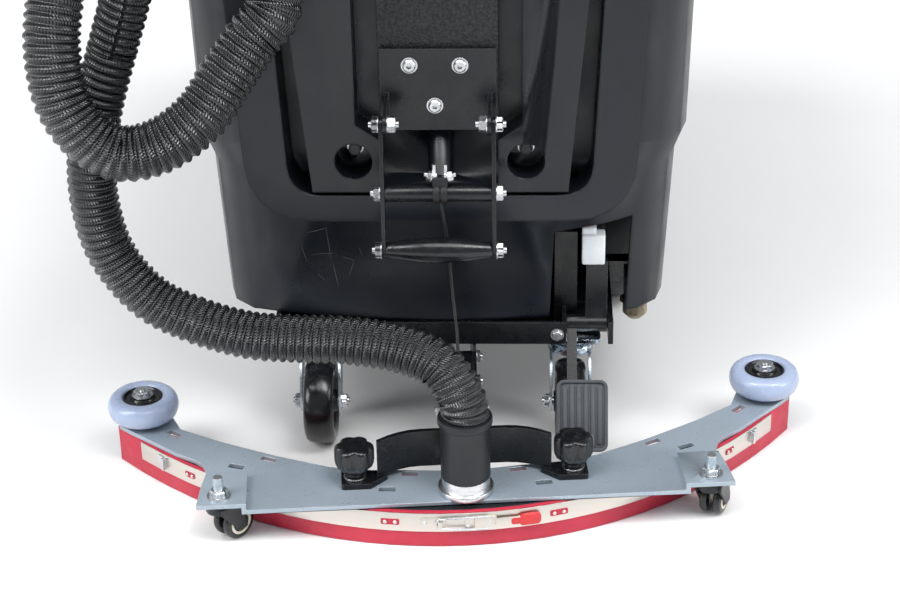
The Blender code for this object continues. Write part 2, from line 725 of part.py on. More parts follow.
def lift_bracket(machine):
    """Flat plate with two ears and the pivot pins of the lift lever."""
    back = PANEL_FACE - GAP
    front = back - BRACKET_THICKNESS
    base = box((-BRACKET_HALF, front, BRACKET_BOTTOM), (BRACKET_HALF, back, BRACKET_TOP))
    adds = []
    ear = [(front + 0.001, LEVER_PIVOT_Z - 0.013), (front + 0.001, LEVER_PIVOT_Z + 0.020)]
    ear += stadium((LEVER_PIVOT_Y, LEVER_PIVOT_Z), (LEVER_PIVOT_Y + 0.001, LEVER_PIVOT_Z), 0.012)[7:]
    for side in (-1, 1):
        low, high = sorted((side * EAR_OUTER, side * (EAR_OUTER - EAR_THICKNESS)))
        adds.append(prism(ear, "x", low, high))
        low, high = sorted((side * (EAR_OUTER - EAR_THICKNESS), side * (NUT_INNER + 0.001)))
        adds.append(rod(LEVER_PIN_RADIUS, (0, LEVER_PIVOT_Y, LEVER_PIVOT_Z), "x", low, high))
        low, high = sorted((side * NUT_INNER, side * (NUT_INNER + LEVER_NUT_LENGTH)))
        adds.append(nut(LEVER_NUT_RADIUS, (0, LEVER_PIVOT_Y, LEVER_PIVOT_Z), "x", low, high))
    piece("lift_bracket", COATED, machine, base, adds)


def lever_pieces(machine):
    """Two flat arms, the crossbar that pulls the cable and the barrel grip."""
    pivot = (LEVER_PIVOT_Y, LEVER_PIVOT_Z)
    bar = lever_point(LEVER_BAR_SHARE)
    grip = (LEVER_GRIP_Y, LEVER_GRIP_Z)
    origin = (0, *pivot)
    outline = stadium(pivot, grip, LEVER_ARM_HALF)
    for name, side in (("lever_arm_left", -1), ("lever_arm_right", 1)):
        low, high = sorted((side * ARM_INNER, side * ARM_OUTER))
        cuts = [rod(LEVER_PIN_RADIUS + RUNNING, (0, *pivot), "x", low - 0.01, high + 0.01),
                rod(LEVER_BOLT_RADIUS + GAP, (0, *bar), "x", low - 0.01, high + 0.01)]
        if side > 0:
            cuts.append(rod(LEVER_BOLT_RADIUS + GAP, (0, *grip), "x", low - 0.01, high + 0.01))
        bolt = []
        if side < 0:
            bolt = [rod(LEVER_BOLT_RADIUS, (0, *grip), "x", -ARM_OUTER - 0.001, NUT_INNER + 0.001),
                    nut(LEVER_NUT_RADIUS, (0, *grip), "x", -NUT_INNER - LEVER_NUT_LENGTH, -ARM_OUTER + 0.001),
                    nut(LEVER_NUT_RADIUS, (0, *grip), "x", NUT_INNER, NUT_INNER + LEVER_NUT_LENGTH)]
        piece(name, COATED, machine, prism(outline, "x", low, high), (), cuts, origin, late=bolt)
    adds = [rod(LEVER_BOLT_RADIUS, (0, *bar), "x", -NUT_INNER - 0.001, NUT_INNER + 0.001)]
    for side in (-1, 1):
        low, high = sorted((side * NUT_INNER, side * (NUT_INNER + LEVER_NUT_LENGTH)))
        adds.append(nut(LEVER_NUT_RADIUS, (0, *bar), "x", low, high))
    reach = ARM_INNER - GAP
    piece("lever_crossbar", COATED, machine, rod(LEVER_BAR_RADIUS, (0, *bar), "x", -reach, reach, 18),
          adds, (), origin, True)
    bore = LEVER_BOLT_RADIUS + RUNNING
    outer = [(GRIP_END_RADIUS, -reach), (GRIP_END_RADIUS + 0.0015, -reach * 0.75),
             (GRIP_MID_RADIUS - 0.0015, -reach * 0.4), (GRIP_MID_RADIUS, 0.0)]
    profile = outer + [(radius, -height) for radius, height in reversed(outer[:-1])]
    profile += [(bore, reach), (bore, -reach)]
    piece("lever_grip", BLACK, machine, turned(profile, (0, *grip), "x", 20), (), (), (0, *grip), True)


# ---------------------------------------------------------------- pedal


def pad_slab(width, length, near, far):
    """A slab square to the pad's slope, between two distances behind its face."""
    along = Vector((-math.cos(PAD_SLOPE), -math.sin(PAD_SLOPE)))
    inward = Vector((math.sin(PAD_SLOPE), -math.cos(PAD_SLOPE)))
    centre = Vector((PAD_Y, PAD_Z))
    rings = []
    for depth in (near, far):
        ring = []
        for a, b in rounded([(-width / 2, -length / 2), (width / 2, -length / 2),
                             (width / 2, length / 2), (-width / 2, length / 2)], 0.008, 3):
            point = centre + along * b + inward * depth
            ring.append((PAD_X + a, point.x, point.y))
        rings.append(ring)
    return lofted(rings)


def pedal_pieces(machine):
    pivot = (PEDAL_PIVOT_Y, PEDAL_PIVOT_Z)
    origin = (0, *pivot)
    left = PEDAL_SLOT_LEFT + 0.001
    right = PEDAL_SLOT_RIGHT - 0.001
    plate_near = PAD_THICKNESS + GAP
    back = plate_near + PAD_PLATE
    inward = Vector((math.sin(PAD_SLOPE), -math.cos(PAD_SLOPE)))
    seat = Vector((PAD_Y, PAD_Z)) + inward * (back - 0.001)
    arm = prism(stadium(pivot, tuple(seat), 0.0060), "x", left, left + PEDAL_ARM_WIDTH)
    face_cut = pad_slab(PAD_WIDTH + 0.08, PAD_LENGTH + 0.08, -0.05, plate_near)
    bar = box((right - PEDAL_BAR_WIDTH, PEDAL_PIVOT_Y - 0.004, PEDAL_PIVOT_Z),
              (right, PEDAL_PIVOT_Y + 0.004, PEDAL_BAR_TOP))
    piece("pedal_lever", COATED, machine, rod(PEDAL_HUB_RADIUS, (0, *pivot), "x", left, right, 18),
          [arm, pad_slab(PAD_WIDTH - 0.008, PAD_LENGTH - 0.010, plate_near, back), bar],
          [face_cut, rod(PEDAL_PIN_RADIUS + RUNNING, (0, *pivot), "x", left - 0.01, right + 0.01)],
          origin)
    piece("pedal_pad", GREY_RUBBER, machine, pad_slab(PAD_WIDTH, PAD_LENGTH, 0.0, PAD_THICKNESS), (), (), origin)


# ---------------------------------------------------------------- wheels


def main_wheels(machine):
    half = WHEEL_WIDTH / 2
    bore = AXLE_RADIUS + RUNNING
    profile = [(bore, -half), (0.030, -half), (0.034, -half + 0.006), (0.072, -half + 0.006), (0.078, -half),
               (WHEEL_RADIUS - 0.005, -half), (WHEEL_RADIUS, -half + 0.005)]
    profile += [(radius, -height) for radius, height in reversed(profile)]
    for name, side in (("wheel_left", -1), ("wheel_right", 1)):
        centre = (side * WHEEL_X, WHEEL_Y, WHEEL_RADIUS)
        piece(name, BLACK_RUBBER, machine, turned(profile, centre, "x", 24), (), (), centre, True)


def caster_pieces(machine):
    """Plate, swivelling fork and wheel of each rear caster."""
    plate_top = FRAME_BOTTOM - GAP
    plate_low = plate_top - CASTER_PLATE_THICKNESS
    race_low = plate_low - CASTER_RACE_DEPTH
    crown_top = race_low - GAP
    crown_low = crown_top - CASTER_CROWN_DEPTH
    wheel_y = CASTER_Y - CASTER_TRAIL
    axle_z = CASTER_WHEEL_RADIUS
    for tag, side in (("left", -1), ("right", 1)):
        x = side * CASTER_X
        centre = (x, CASTER_Y, 0)
        plate = prism(rounded([(x - CASTER_PLATE_HALF, CASTER_Y - 0.030), (x + CASTER_PLATE_HALF, CASTER_Y - 0.030),
                               (x + CASTER_PLATE_HALF, CASTER_Y + 0.030), (x - CASTER_PLATE_HALF, CASTER_Y + 0.030)],
                              0.006, 2), "z", plate_low, plate_top)
        if side > 0:
            notch = box((PEDAL_SLOT_LEFT - 0.001, CASTER_Y - 0.040, plate_low - 0.004),
                        (PEDAL_SLOT_LEFT + PEDAL_ARM_WIDTH + 0.003, CASTER_Y - 0.0155, plate_top + 0.001))
            notches = [notch]
        else:
            notches = []
        piece(f"caster_plate_{tag}", ZINC, machine, plate,
              [turned([(0, race_low), (0.022, race_low), (0.025, race_low + 0.005), (0.025, plate_low + 0.001),
                       (0, plate_low + 0.001)], centre, "z", 20)], notches)
        leg = [(CASTER_Y - 0.018, crown_low + 0.002), (CASTER_Y + 0.016, crown_low + 0.002),
               (wheel_y + 0.010, axle_z - 0.008), (wheel_y - 0.010, axle_z - 0.008), (wheel_y - 0.012, axle_z + 0.012)]
        adds = []
        for way in (-1, 1):
            near = x + way * CASTER_LEG_INNER
            far = near + way * CASTER_LEG_THICKNESS
            adds.append(prism(leg, "x", *sorted((near, far))))
            adds.append(nut(CASTER_NUT_RADIUS, (0, wheel_y, axle_z), "x",
                            *sorted((far - way * 0.001, far + way * CASTER_NUT_LENGTH))))
        adds.append(rod(CASTER_AXLE_RADIUS, (0, wheel_y, axle_z), "x", x - CASTER_LEG_INNER - 0.001,
                        x + CASTER_LEG_INNER + 0.001))
        crown = turned([(0, crown_low), (0.0262, crown_low), (0.0262, crown_top - 0.003), (0.023, crown_top),
                        (0, crown_top)], centre, "z", 20)
        piece(f"caster_fork_{tag}", ZINC, machine, crown, adds, (), (x, CASTER_Y, crown_low))
        half = CASTER_WHEEL_WIDTH / 2
        bore = CASTER_AXLE_RADIUS + RUNNING
        profile = [(bore, -half - 0.0015), (0.012, -half - 0.0015), (0.014, -half + 0.004), (0.034, -half + 0.004),
                   (0.037, -half), (CASTER_WHEEL_RADIUS - 0.007, -half), (CASTER_WHEEL_RADIUS, -half + 0.009)]
        profile += [(radius, -height) for radius, height in reversed(profile)]
        hub = (x, wheel_y, axle_z)
        piece(f"caster_wheel_{tag}", BLACK_RUBBER, machine, turned(profile, hub, "x", 22), (), (), hub, True)


# ---------------------------------------------------------------- brush deck and motors


def deck_pieces(machine):
    """Deck, splash skirt, motor and disc brush, raised by the pedal."""
    brush_low = BRUSH_FLOOR_GAP + DECK_LIFT
    plate_low = brush_low + BRISTLE_LENGTH
    plate_high = plate_low + BRUSH_PLATE
    deck_low = plate_high + 0.004
    deck_high = deck_low + DECK_THICKNESS
    centre = (0, DECK_Y, 0)
    bore = SPINDLE_RADIUS + RUNNING
    spindle_top = deck_high + 0.020
    deck = turned([(bore, deck_low), (DECK_RADIUS - GAP, deck_low), (DECK_RADIUS - GAP, deck_high - 0.004),
                   (DECK_RADIUS - 0.02, deck_high), (bore, deck_high)], centre, "z", 32)
    posts = []
    for side in (-1, 1):
        post = (side * DECK_POST_X, DECK_Y, 0)
        stop = FRAME_BOTTOM + FRAME_WALL + DECK_LIFT + 0.0005
        posts.append(rod(DECK_POST_RADIUS, post, "z", deck_high - 0.002, stop + 0.001, 14))
        posts.append(nut(DECK_POST_RADIUS + 0.006, post, "z", stop, stop + 0.008))
    piece("brush_deck", COATED, machine, deck, posts, (), centre, True)
    skirt = turned([(DECK_RADIUS, deck_high - 0.002 - SKIRT_HEIGHT), (DECK_RADIUS + SKIRT_THICKNESS,
                                                                      deck_high - 0.002 - SKIRT_HEIGHT),
                    (DECK_RADIUS + SKIRT_THICKNESS, deck_high - 0.002), (DECK_RADIUS, deck_high - 0.002)],
                   centre, "z", 32)
    piece("splash_skirt", BLACK_RUBBER, machine, skirt, (), (), centre, True)
    motor_low = deck_high + GAP
    motor = turned([(bore, motor_low), (DECK_MOTOR_RADIUS + 0.012, motor_low), (DECK_MOTOR_RADIUS + 0.012,
                                                                                motor_low + 0.010),
                    (DECK_MOTOR_RADIUS, motor_low + 0.012), (DECK_MOTOR_RADIUS, motor_low + DECK_MOTOR_HEIGHT - 0.02),
                    (DECK_MOTOR_RADIUS - 0.015, motor_low + DECK_MOTOR_HEIGHT), (0, motor_low + DECK_MOTOR_HEIGHT),
                    (0, spindle_top + 0.001), (bore, spindle_top + 0.001)], centre, "z", 24)
    piece("brush_motor", BLACK, machine, motor, (), (), centre, True)
    brush = turned([(BRUSH_BORE, brush_low), (BRUSH_RADIUS, brush_low), (BRUSH_RADIUS - 0.006, plate_low),
                    (BRUSH_RADIUS - 0.006, plate_high), (0.030, plate_high), (SPINDLE_RADIUS, plate_high + 0.002),
                    (SPINDLE_RADIUS, spindle_top), (0, spindle_top), (0, plate_low), (BRUSH_BORE, plate_low)],
                   centre, "z", 32)
    piece("brush", BRISTLE, machine, brush, (), (), centre, True)


def vacuum_motor(machine):
    top = WEB_LOW - GAP
    low = top - VACUUM_HEIGHT
    profile = [(0, low), (VACUUM_RADIUS - 0.020, low), (VACUUM_RADIUS - 0.014, low + 0.035),
               (VACUUM_RADIUS, low + 0.040), (VACUUM_RADIUS, low + 0.085), (VACUUM_RADIUS - 0.012, low + 0.090),
               (VACUUM_RADIUS - 0.012, top), (0, top)]
    piece("vacuum_motor", ALLOY, machine, turned(profile, (0, VACUUM_Y, 0), "z", 20), (), (), (0, VACUUM_Y, low), True)


def battery_pieces(machine):
    low = WEB_HIGH + GAP
    for name, side in (("battery_left", -1), ("battery_right", 1)):
        near = side * BATTERY_SPACING / 2
        far = near + side * BATTERY_WIDTH
        left, right = sorted((near, far))
        rear = BATTERY_Y - BATTERY_LENGTH / 2
        case = box((left, rear, low), (right, rear + BATTERY_LENGTH, low + BATTERY_HEIGHT))
        middle = (left + right) / 2
        posts = [rod(TERMINAL_RADIUS, (middle, rear + share * BATTERY_LENGTH, 0), "z",
                     low + BATTERY_HEIGHT - 0.002, low + BATTERY_HEIGHT + 0.014, 10) for share in (0.12, 0.88)]
        piece(name, BATTERY_GREY, machine, case, posts)


# ---------------------------------------------------------------- recovery tank, console, handle


def recovery_tank(machine):
    base = lofted([plan_ring(TANK_FOOT_HALF, TANK_REAR, TANK_FRONT, TANK_BOTTOM),
                   plan_ring(TANK_TOP_HALF, TANK_REAR, TANK_FRONT - 0.012, TANK_TOP)])
    inner = lofted([plan_ring(TANK_FOOT_HALF - TANK_WALL, TANK_REAR + TANK_WALL, TANK_FRONT - TANK_WALL,
                              TANK_BOTTOM + TANK_WALL + 0.002),
                    plan_ring(TANK_TOP_HALF - TANK_WALL, TANK_REAR + TANK_WALL, TANK_FRONT - 0.012 - TANK_WALL,
                              TANK_TOP + 0.01)])
    depth = TANK_REAR + 0.034
    ports = [rod(PORT_RADIUS, (x, 0, z), "y", PORT_FACE, depth, 20) for x, z in (SUCTION_INLET, DRAIN_OUTLET)]
    clip = prism(rounded([(-0.2865, 0.058), (-0.2420, 0.105), (-0.2420, 0.135), (-0.2865, 0.082)], 0.004, 2), "z",
                 CLIP_Z - 0.009, CLIP_Z + 0.009)
    piece("recovery_tank", TANK_GREY, machine, base, (), [inner], late=ports + [clip])


LID_HINGE_Y = TANK_FRONT - 0.006
LID_HINGE_Z = TANK_TOP + LID_OPEN_GAP


def tank_lid(machine):
    low = TANK_TOP + LID_OPEN_GAP
    grow = 0.004
    base = lofted([plan_ring(TANK_TOP_HALF + grow, TANK_REAR - grow, TANK_FRONT - 0.008, low),
                   plan_ring(TANK_TOP_HALF + grow, TANK_REAR - grow, TANK_FRONT - 0.008, low + LID_HEIGHT * 0.55),
                   plan_ring(TANK_TOP_HALF - 0.016, TANK_REAR + 0.016, TANK_FRONT - 0.028, low + LID_HEIGHT)])
    inner = lofted([plan_ring(TANK_TOP_HALF - LID_WALL, TANK_REAR + LID_WALL, TANK_FRONT - 0.018, low - 0.01),
                    plan_ring(TANK_TOP_HALF - 0.022, TANK_REAR + 0.022, TANK_FRONT - 0.034,
                              low + LID_HEIGHT - LID_WALL)])
    piece("tank_lid", TANK_GREY, machine, base, (), [inner], (0, LID_HINGE_Y, LID_HINGE_Z))


def console_housing(machine):
    """Control head, with seats for the key, the switches and the stop button."""
    profile = [(CONSOLE_FRONT, COLUMN_TOP + GAP), (CONSOLE_FRONT, CONSOLE_TOP - 0.004),
               (CONSOLE_FRONT - 0.004, CONSOLE_TOP), (CONSOLE_REAR + 0.016, CONSOLE_TOP),
               (CONSOLE_REAR, CONSOLE_TOP - 0.014), (CONSOLE_REAR, CONSOLE_TOP - 0.050),
               (COLUMN_FACE - 0.004, COLUMN_TOP + GAP)]
    base = prism(profile, "x", -CONSOLE_HALF, CONSOLE_HALF)
    lugs = []
    for side in (-1, 1):
        low, high = sorted((side * (BAIL_HALF - 0.020), side * (BAIL_HALF - 0.010)))
        lug = [(CONSOLE_REAR + 0.002, BAIL_PIVOT_Z - 0.008), (CONSOLE_REAR + 0.002, BAIL_PIVOT_Z + 0.008),
               (BAIL_PIVOT_Y - 0.004, BAIL_PIVOT_Z + 0.008), (BAIL_PIVOT_Y - 0.009, BAIL_PIVOT_Z),
               (BAIL_PIVOT_Y - 0.004, BAIL_PIVOT_Z - 0.008)]
        lugs.append(prism(lug, "x", low, high))
    cuts = [rod(0.0065, (KEY_X, SWITCH_Y, 0), "z", CONSOLE_TOP - 0.010, CONSOLE_TOP + 0.01),
            rod(STOP_STEM_RADIUS + 0.0005, (STOP_X, SWITCH_Y, 0), "z", CONSOLE_TOP - 0.018, CONSOLE_TOP + 0.01)]
    for x in SWITCH_XS.values():
        cuts.append(box((x - SWITCH_WIDTH / 2 - 0.001, SWITCH_Y - SWITCH_LENGTH / 2 - 0.0015, CONSOLE_TOP - 0.012),
                        (x + SWITCH_WIDTH / 2 + 0.001, SWITCH_Y + SWITCH_LENGTH / 2 + 0.0015, CONSOLE_TOP + 0.01)))
    for side in (-1, 1):
        low, high = sorted((side * (BAIL_HALF - 0.030), side * (BAIL_HALF + 0.01)))
        cuts.append(rod(BAIL_PIN_RADIUS + RUNNING, (0, BAIL_PIVOT_Y, BAIL_PIVOT_Z), "x", low, high, 12))
    piece("console_housing", BLACK, machine, base, lugs, cuts)


def handle_bar(machine):
    start = CONSOLE_HALF + GAP
    seat_y = (CONSOLE_REAR + CONSOLE_FRONT) / 2
    seat_z = CONSOLE_TOP - 0.026
    half = [(start, seat_y, seat_z), (HANDLE_HALF - 0.030, seat_y, seat_z),
            (HANDLE_HALF - 0.009, seat_y - 0.008, seat_z + 0.004), (HANDLE_HALF, seat_y - 0.030, seat_z + 0.016),
            (HANDLE_HALF, HANDLE_REAR + 0.032, HANDLE_Z - 0.010), (HANDLE_HALF - 0.009, HANDLE_REAR + 0.009,
                                                                   HANDLE_Z - 0.002),
            (HANDLE_HALF - 0.034, HANDLE_REAR, HANDLE_Z)]
    points = [(-x, y, z) for x, y, z in half] + list(reversed(half))
    piece("handle_bar", COATED, machine, swept(points, HANDLE_RADIUS, 12), (), (), (0, 0, 0), True)


def drive_bail(machine):
    half = [(BAIL_HALF, BAIL_PIVOT_Y, BAIL_PIVOT_Z), (BAIL_HALF, BAIL_REAR + 0.008, BAIL_HIGH - 0.003),
            (BAIL_HALF - 0.012, BAIL_REAR, BAIL_HIGH)]
    points = [(-x, y, z) for x, y, z in half] + list(reversed(half))
    pins = []
    for side in (-1, 1):
        low, high = sorted((side * (BAIL_HALF - 0.019), side * (BAIL_HALF + 0.001)))
        pins.append(rod(BAIL_PIN_RADIUS, (0, BAIL_PIVOT_Y, BAIL_PIVOT_Z), "x", low, high, 12))
    piece("drive_bail", RED_PLASTIC, machine, swept(points, BAIL_RADIUS, 8), pins, (),
          (0, BAIL_PIVOT_Y, BAIL_PIVOT_Z), True)


def controls(machine):
    top = CONSOLE_TOP
    stem = rod(0.006, (KEY_X, SWITCH_Y, 0), "z", top - 0.0095, top + 0.006, 14)
    bow = prism(stadium((KEY_X, top + 0.016), (KEY_X, top + 0.017), 0.011), "y", SWITCH_Y - 0.0016,
                SWITCH_Y + 0.0016)
    piece("key", ZINC, machine, stem, [bow], (), (KEY_X, SWITCH_Y, top))
    for name, x in SWITCH_XS.items():
        half = SWITCH_LENGTH / 2
        profile = [(-half + 0.001, 0.0), (-half + 0.0005, 0.0035), (0, 0.0020), (half - 0.0005, 0.0035),
                   (half - 0.001, 0.0), (half - 0.006, -0.0080), (-half + 0.006, -0.0080)]
        turned_profile = []
        for a, b in profile:
            turned_profile.append((SWITCH_Y + a * math.cos(SWITCH_TILT) - b * math.sin(SWITCH_TILT),
                                   top + a * math.sin(SWITCH_TILT) + b * math.cos(SWITCH_TILT)))
        piece(name, BLACK, machine, prism(turned_profile, "x", x - SWITCH_WIDTH / 2, x + SWITCH_WIDTH / 2), (), (),
              (x, SWITCH_Y, top))
    cap_low = top + STOP_TRAVEL + 0.0006
    profile = [(0, top - 0.0120), (STOP_STEM_RADIUS, top - 0.0120), (STOP_STEM_RADIUS, cap_low),
               (STOP_RADIUS, cap_low), (STOP_RADIUS, cap_low + 0.006), (STOP_RADIUS - 0.005, cap_low + 0.011),
               (0, cap_low + 0.012)]
    piece("stop_button", RED_PLASTIC, machine, turned(profile, (STOP_X, SWITCH_Y, 0), "z", 20), (), (),
          (STOP_X, SWITCH_Y, top), True)


def drain_cock(machine):
    top = BODY_BOTTOM - GAP
    profile = [(0, top - DRAIN_DEPTH), (DRAIN_RADIUS - 0.006, top - DRAIN_DEPTH + 0.0015),
               (DRAIN_RADIUS, top - DRAIN_DEPTH + 0.008), (DRAIN_RADIUS, top - 0.005), (DRAIN_RADIUS, top - 0.001),
               (0, top - 0.001)]
    flange = nut(DRAIN_FLANGE, (DRAIN_X, DRAIN_Y, 0), "z", top - 0.006, top)
    stub = rod(DRAIN_STUB, (DRAIN_X, DRAIN_Y, 0), "z", top - 0.002, top + 0.018, 16)
    piece("drain_cock", BRASS, machine, turned(profile, (DRAIN_X, DRAIN_Y, 0), "z", 20), [flange, stub], (),
          (DRAIN_X, DRAIN_Y, top))


# ---------------------------------------------------------------- squeegee


def blade_y(x):
    """The outer face of the rear blade."""
    return BLADE_REAR + BLADE_BOW * x**2 + BLADE_HOOK * x**4


def carrier_front_y(x):
    return CARRIER_FRONT + CARRIER_BOW * x**2 + CARRIER_HOOK * x**4


def steps_to(steps):
    """Places across the squeegee, shared by everything that follows a blade."""
    return [BLADE_STEP * i for i in range(-steps, steps + 1)]


def strip(line, near, far, xs, low, high):
    """A wall that follows a line, between two offsets ahead of it."""
    outline = [(x, line(x) + near) for x in xs] + [(x, line(x) + far) for x in reversed(xs)]
    return prism(outline, "z", low, high)


def plate_half_outline():
    seat = [(BUMPER_X + BUMPER_SEAT * math.cos(angle), BUMPER_SEAT * math.sin(angle))
            for angle in (math.radians(a) for a in (165, 130, 90, 50, 10, -20))]
    front = [(0.029, -0.1375), (0.066, -0.1335), (0.106, -0.1300), (0.146, -0.1205), (0.2045, -0.0925),
             (0.2685, -0.0560), (0.3130, -0.0260)]
    rear = [(0.3700, -0.0240), (0.3420, -0.0510), (0.3160, -0.0765), (0.2930, -0.0940), (0.2850, -0.1030),
            (0.2800, -0.1160), (0.2795, WING_FRONT), (WING_INNER, WING_FRONT), (WING_INNER, PLATE_REAR)]
    return front + seat + rear


def slot_cut(x, y, turn, length=0.018, width=0.008):
    corners = []
    for a, b in ((-1, -1), (1, -1), (1, 1), (-1, 1)):
        u, v = a * length / 2, b * width / 2
        corners.append((x + u * math.cos(turn) - v * math.sin(turn), y + u * math.sin(turn) + v * math.cos(turn)))
    return prism(corners, "z", PLATE_TOP - PLATE_THICKNESS - 0.002, PLATE_TOP + 0.002)


def squeegee_plate(squeegee):
    """Top plate with a raised wing at each rear corner, bumper bolts and caster stems."""
    right = plate_half_outline()
    outline = [(0.0, -0.1380)] + right + [(0.0, PLATE_REAR - 0.0015)]
    outline += [(-x, y) for x, y in reversed(right)]
    low = PLATE_TOP - PLATE_THICKNESS
    base = prism(outline, "z", low, PLATE_TOP)
    adds = []
    cuts = []
    wing_low = low + WING_RISE
    wing_high = PLATE_TOP + WING_RISE
    for side in (-1, 1):
        wing = [(WING_INNER - 0.001, PLATE_REAR), (WING_INNER - 0.001, WING_FRONT - 0.0005),
                (0.2795, WING_FRONT - 0.0005), (WING_OUTER, -0.1645), (WING_OUTER + 0.003, PLATE_REAR)]
        adds.append(prism([(side * x, y) for x, y in wing], "z", wing_low, wing_high))
        riser = [(WING_INNER - 0.0045, PLATE_REAR), (WING_INNER - 0.0045, WING_FRONT + 0.004),
                 (0.2795, WING_FRONT + 0.004), (0.2795, WING_FRONT - 0.001), (WING_INNER + 0.0005, WING_FRONT - 0.001),
                 (WING_INNER + 0.0005, PLATE_REAR)]
        adds.append(prism([(side * x, y) for x, y in riser], "z", low, wing_high))
        adds.append(rod(STEM_RADIUS, (side * STEM_X, STEM_Y, 0), "z", wing_low + 0.001, STEM_TOP, 12))
        adds.append(rod(STEM_PIN_RADIUS, (side * STEM_X, STEM_Y, 0), "z", wing_low - 0.0075, wing_low + 0.002, 12))
        adds.append(nut(0.0095, (side * STEM_X, STEM_Y, 0), "z", wing_high - 0.001, wing_high + 0.008))
        bolt = (side * BUMPER_X, 0, 0)
        head = BUMPER_LOW + BUMPER_WIDTH + GAP
        adds.append(rod(BUMPER_BOLT_RADIUS, bolt, "z", PLATE_TOP - 0.001, head + 0.001, 16))
        adds.append(nut(BUMPER_BOLT_RADIUS + 0.0035, bolt, "z", head, head + 0.0055))
        for x, y, degrees in ((0.3198, -0.0352, 42), (0.2474, -0.1104, 22), (0.2123, -0.0986, 28),
                              (0.0843, -0.1702, 5), (0.0586, -0.1418, 8)):
            cuts.append(slot_cut(side * x, y, side * math.radians(degrees)))
    cuts.append(rod(SQUEEGEE_PORT_RADIUS + 0.001, (0, PORT_Y, 0), "z", low - 0.01, PLATE_TOP + 0.01, 20))
    piece("squeegee_plate", GREY, squeegee, base, adds, cuts)


def blade_carrier(squeegee):
    """Inverted tray under the plate: the two blades are held against its walls."""
    top = PLATE_TOP - PLATE_THICKNESS - GAP
    near = BLADE_THICKNESS + GAP
    xs = steps_to(CARRIER_STEPS)
    outer = [(x, blade_y(x) + near) for x in xs] + [(x, carrier_front_y(x)) for x in reversed(xs)]
    end = xs[-1] - 0.010
    inner_xs = [-end] + steps_to(CARRIER_STEPS - 1) + [end]
    inner = [(x, blade_y(x) + near + CARRIER_WALL) for x in inner_xs]
    inner += [(x, carrier_front_y(x) - CARRIER_WALL) for x in reversed(inner_xs)]
    piece("blade_carrier", COATED, squeegee, prism(outer, "z", CARRIER_BOTTOM, top), (),
          [prism(inner, "z", CARRIER_BOTTOM - 0.01, top - CARRIER_WALL),
           rod(SQUEEGEE_PORT_RADIUS - 0.002, (0, PORT_Y, 0), "z", top - 0.01, top + 0.01, 20)])


def blades(squeegee):
    top = PLATE_TOP - PLATE_THICKNESS - GAP
    piece("rear_blade", RED_RUBBER, squeegee,
          strip(blade_y, 0.0, BLADE_THICKNESS, steps_to(BLADE_STEPS), BLADE_BOTTOM, top))
    piece("front_blade", RED_RUBBER, squeegee,
          strip(carrier_front_y, GAP, GAP + BLADE_THICKNESS * 0.9, steps_to(CARRIER_STEPS),
                BLADE_BOTTOM + 0.001, top))
    piece("blade_strap", STAINLESS, squeegee,
          strip(blade_y, -GAP - STRAP_THICKNESS, -GAP, steps_to(CARRIER_STEPS), STRAP_LOW, STRAP_HIGH))
    face = -GAP - STRAP_THICKNESS - 0.0006
    lever = strip(blade_y, face - LATCH_THICKNESS, face, spread(LATCH_PIVOT_X - 0.0014, LATCH_END_X, 6),
                  STRAP_LOW + 0.004, STRAP_HIGH - 0.003)
    piece("strap_latch", STAINLESS, squeegee, lever, (), (),
          (LATCH_PIVOT_X, blade_y(LATCH_PIVOT_X) + face - LATCH_THICKNESS / 2, 0))


def port_pieces(squeegee):
    centre = (0, PORT_Y, 0)
    low = PLATE_TOP + GAP
    flange = low + PORT_FLANGE_HEIGHT
    top = CUFF_TOP - 0.020
    piece("suction_port", ALLOY, squeegee,
          turned([(0, low), (PORT_FLANGE_RADIUS, low), (PORT_FLANGE_RADIUS, flange - 0.001),
                  (PORT_FLANGE_RADIUS - 0.002, flange), (SQUEEGEE_PORT_RADIUS, flange), (SQUEEGEE_PORT_RADIUS, top),
                  (0, top)], centre, "z", 24), (), (), (0, PORT_Y, low), True)
    inner = SQUEEGEE_PORT_RADIUS + GAP
    piece("hose_cuff", BLACK_RUBBER, squeegee,
          turned([(inner, flange + GAP), (CUFF_RADIUS, flange + GAP), (CUFF_RADIUS, CUFF_TOP - 0.008),
                  (CUFF_RADIUS + 0.0025, CUFF_TOP - 0.006), (CUFF_RADIUS + 0.0025, CUFF_TOP), (0, CUFF_TOP),
                  (0, top + GAP), (inner, top + GAP)], centre, "z", 24), (), (), (0, PORT_Y, flange), True)


def arch_line(x):
    """The plan line of the bar that carries the squeegee: flat in the middle, swept back to its feet."""
    reach = max(0.0, abs(x) - 0.045)
    return ARCH_Y - ARCH_SWEEP * reach**2


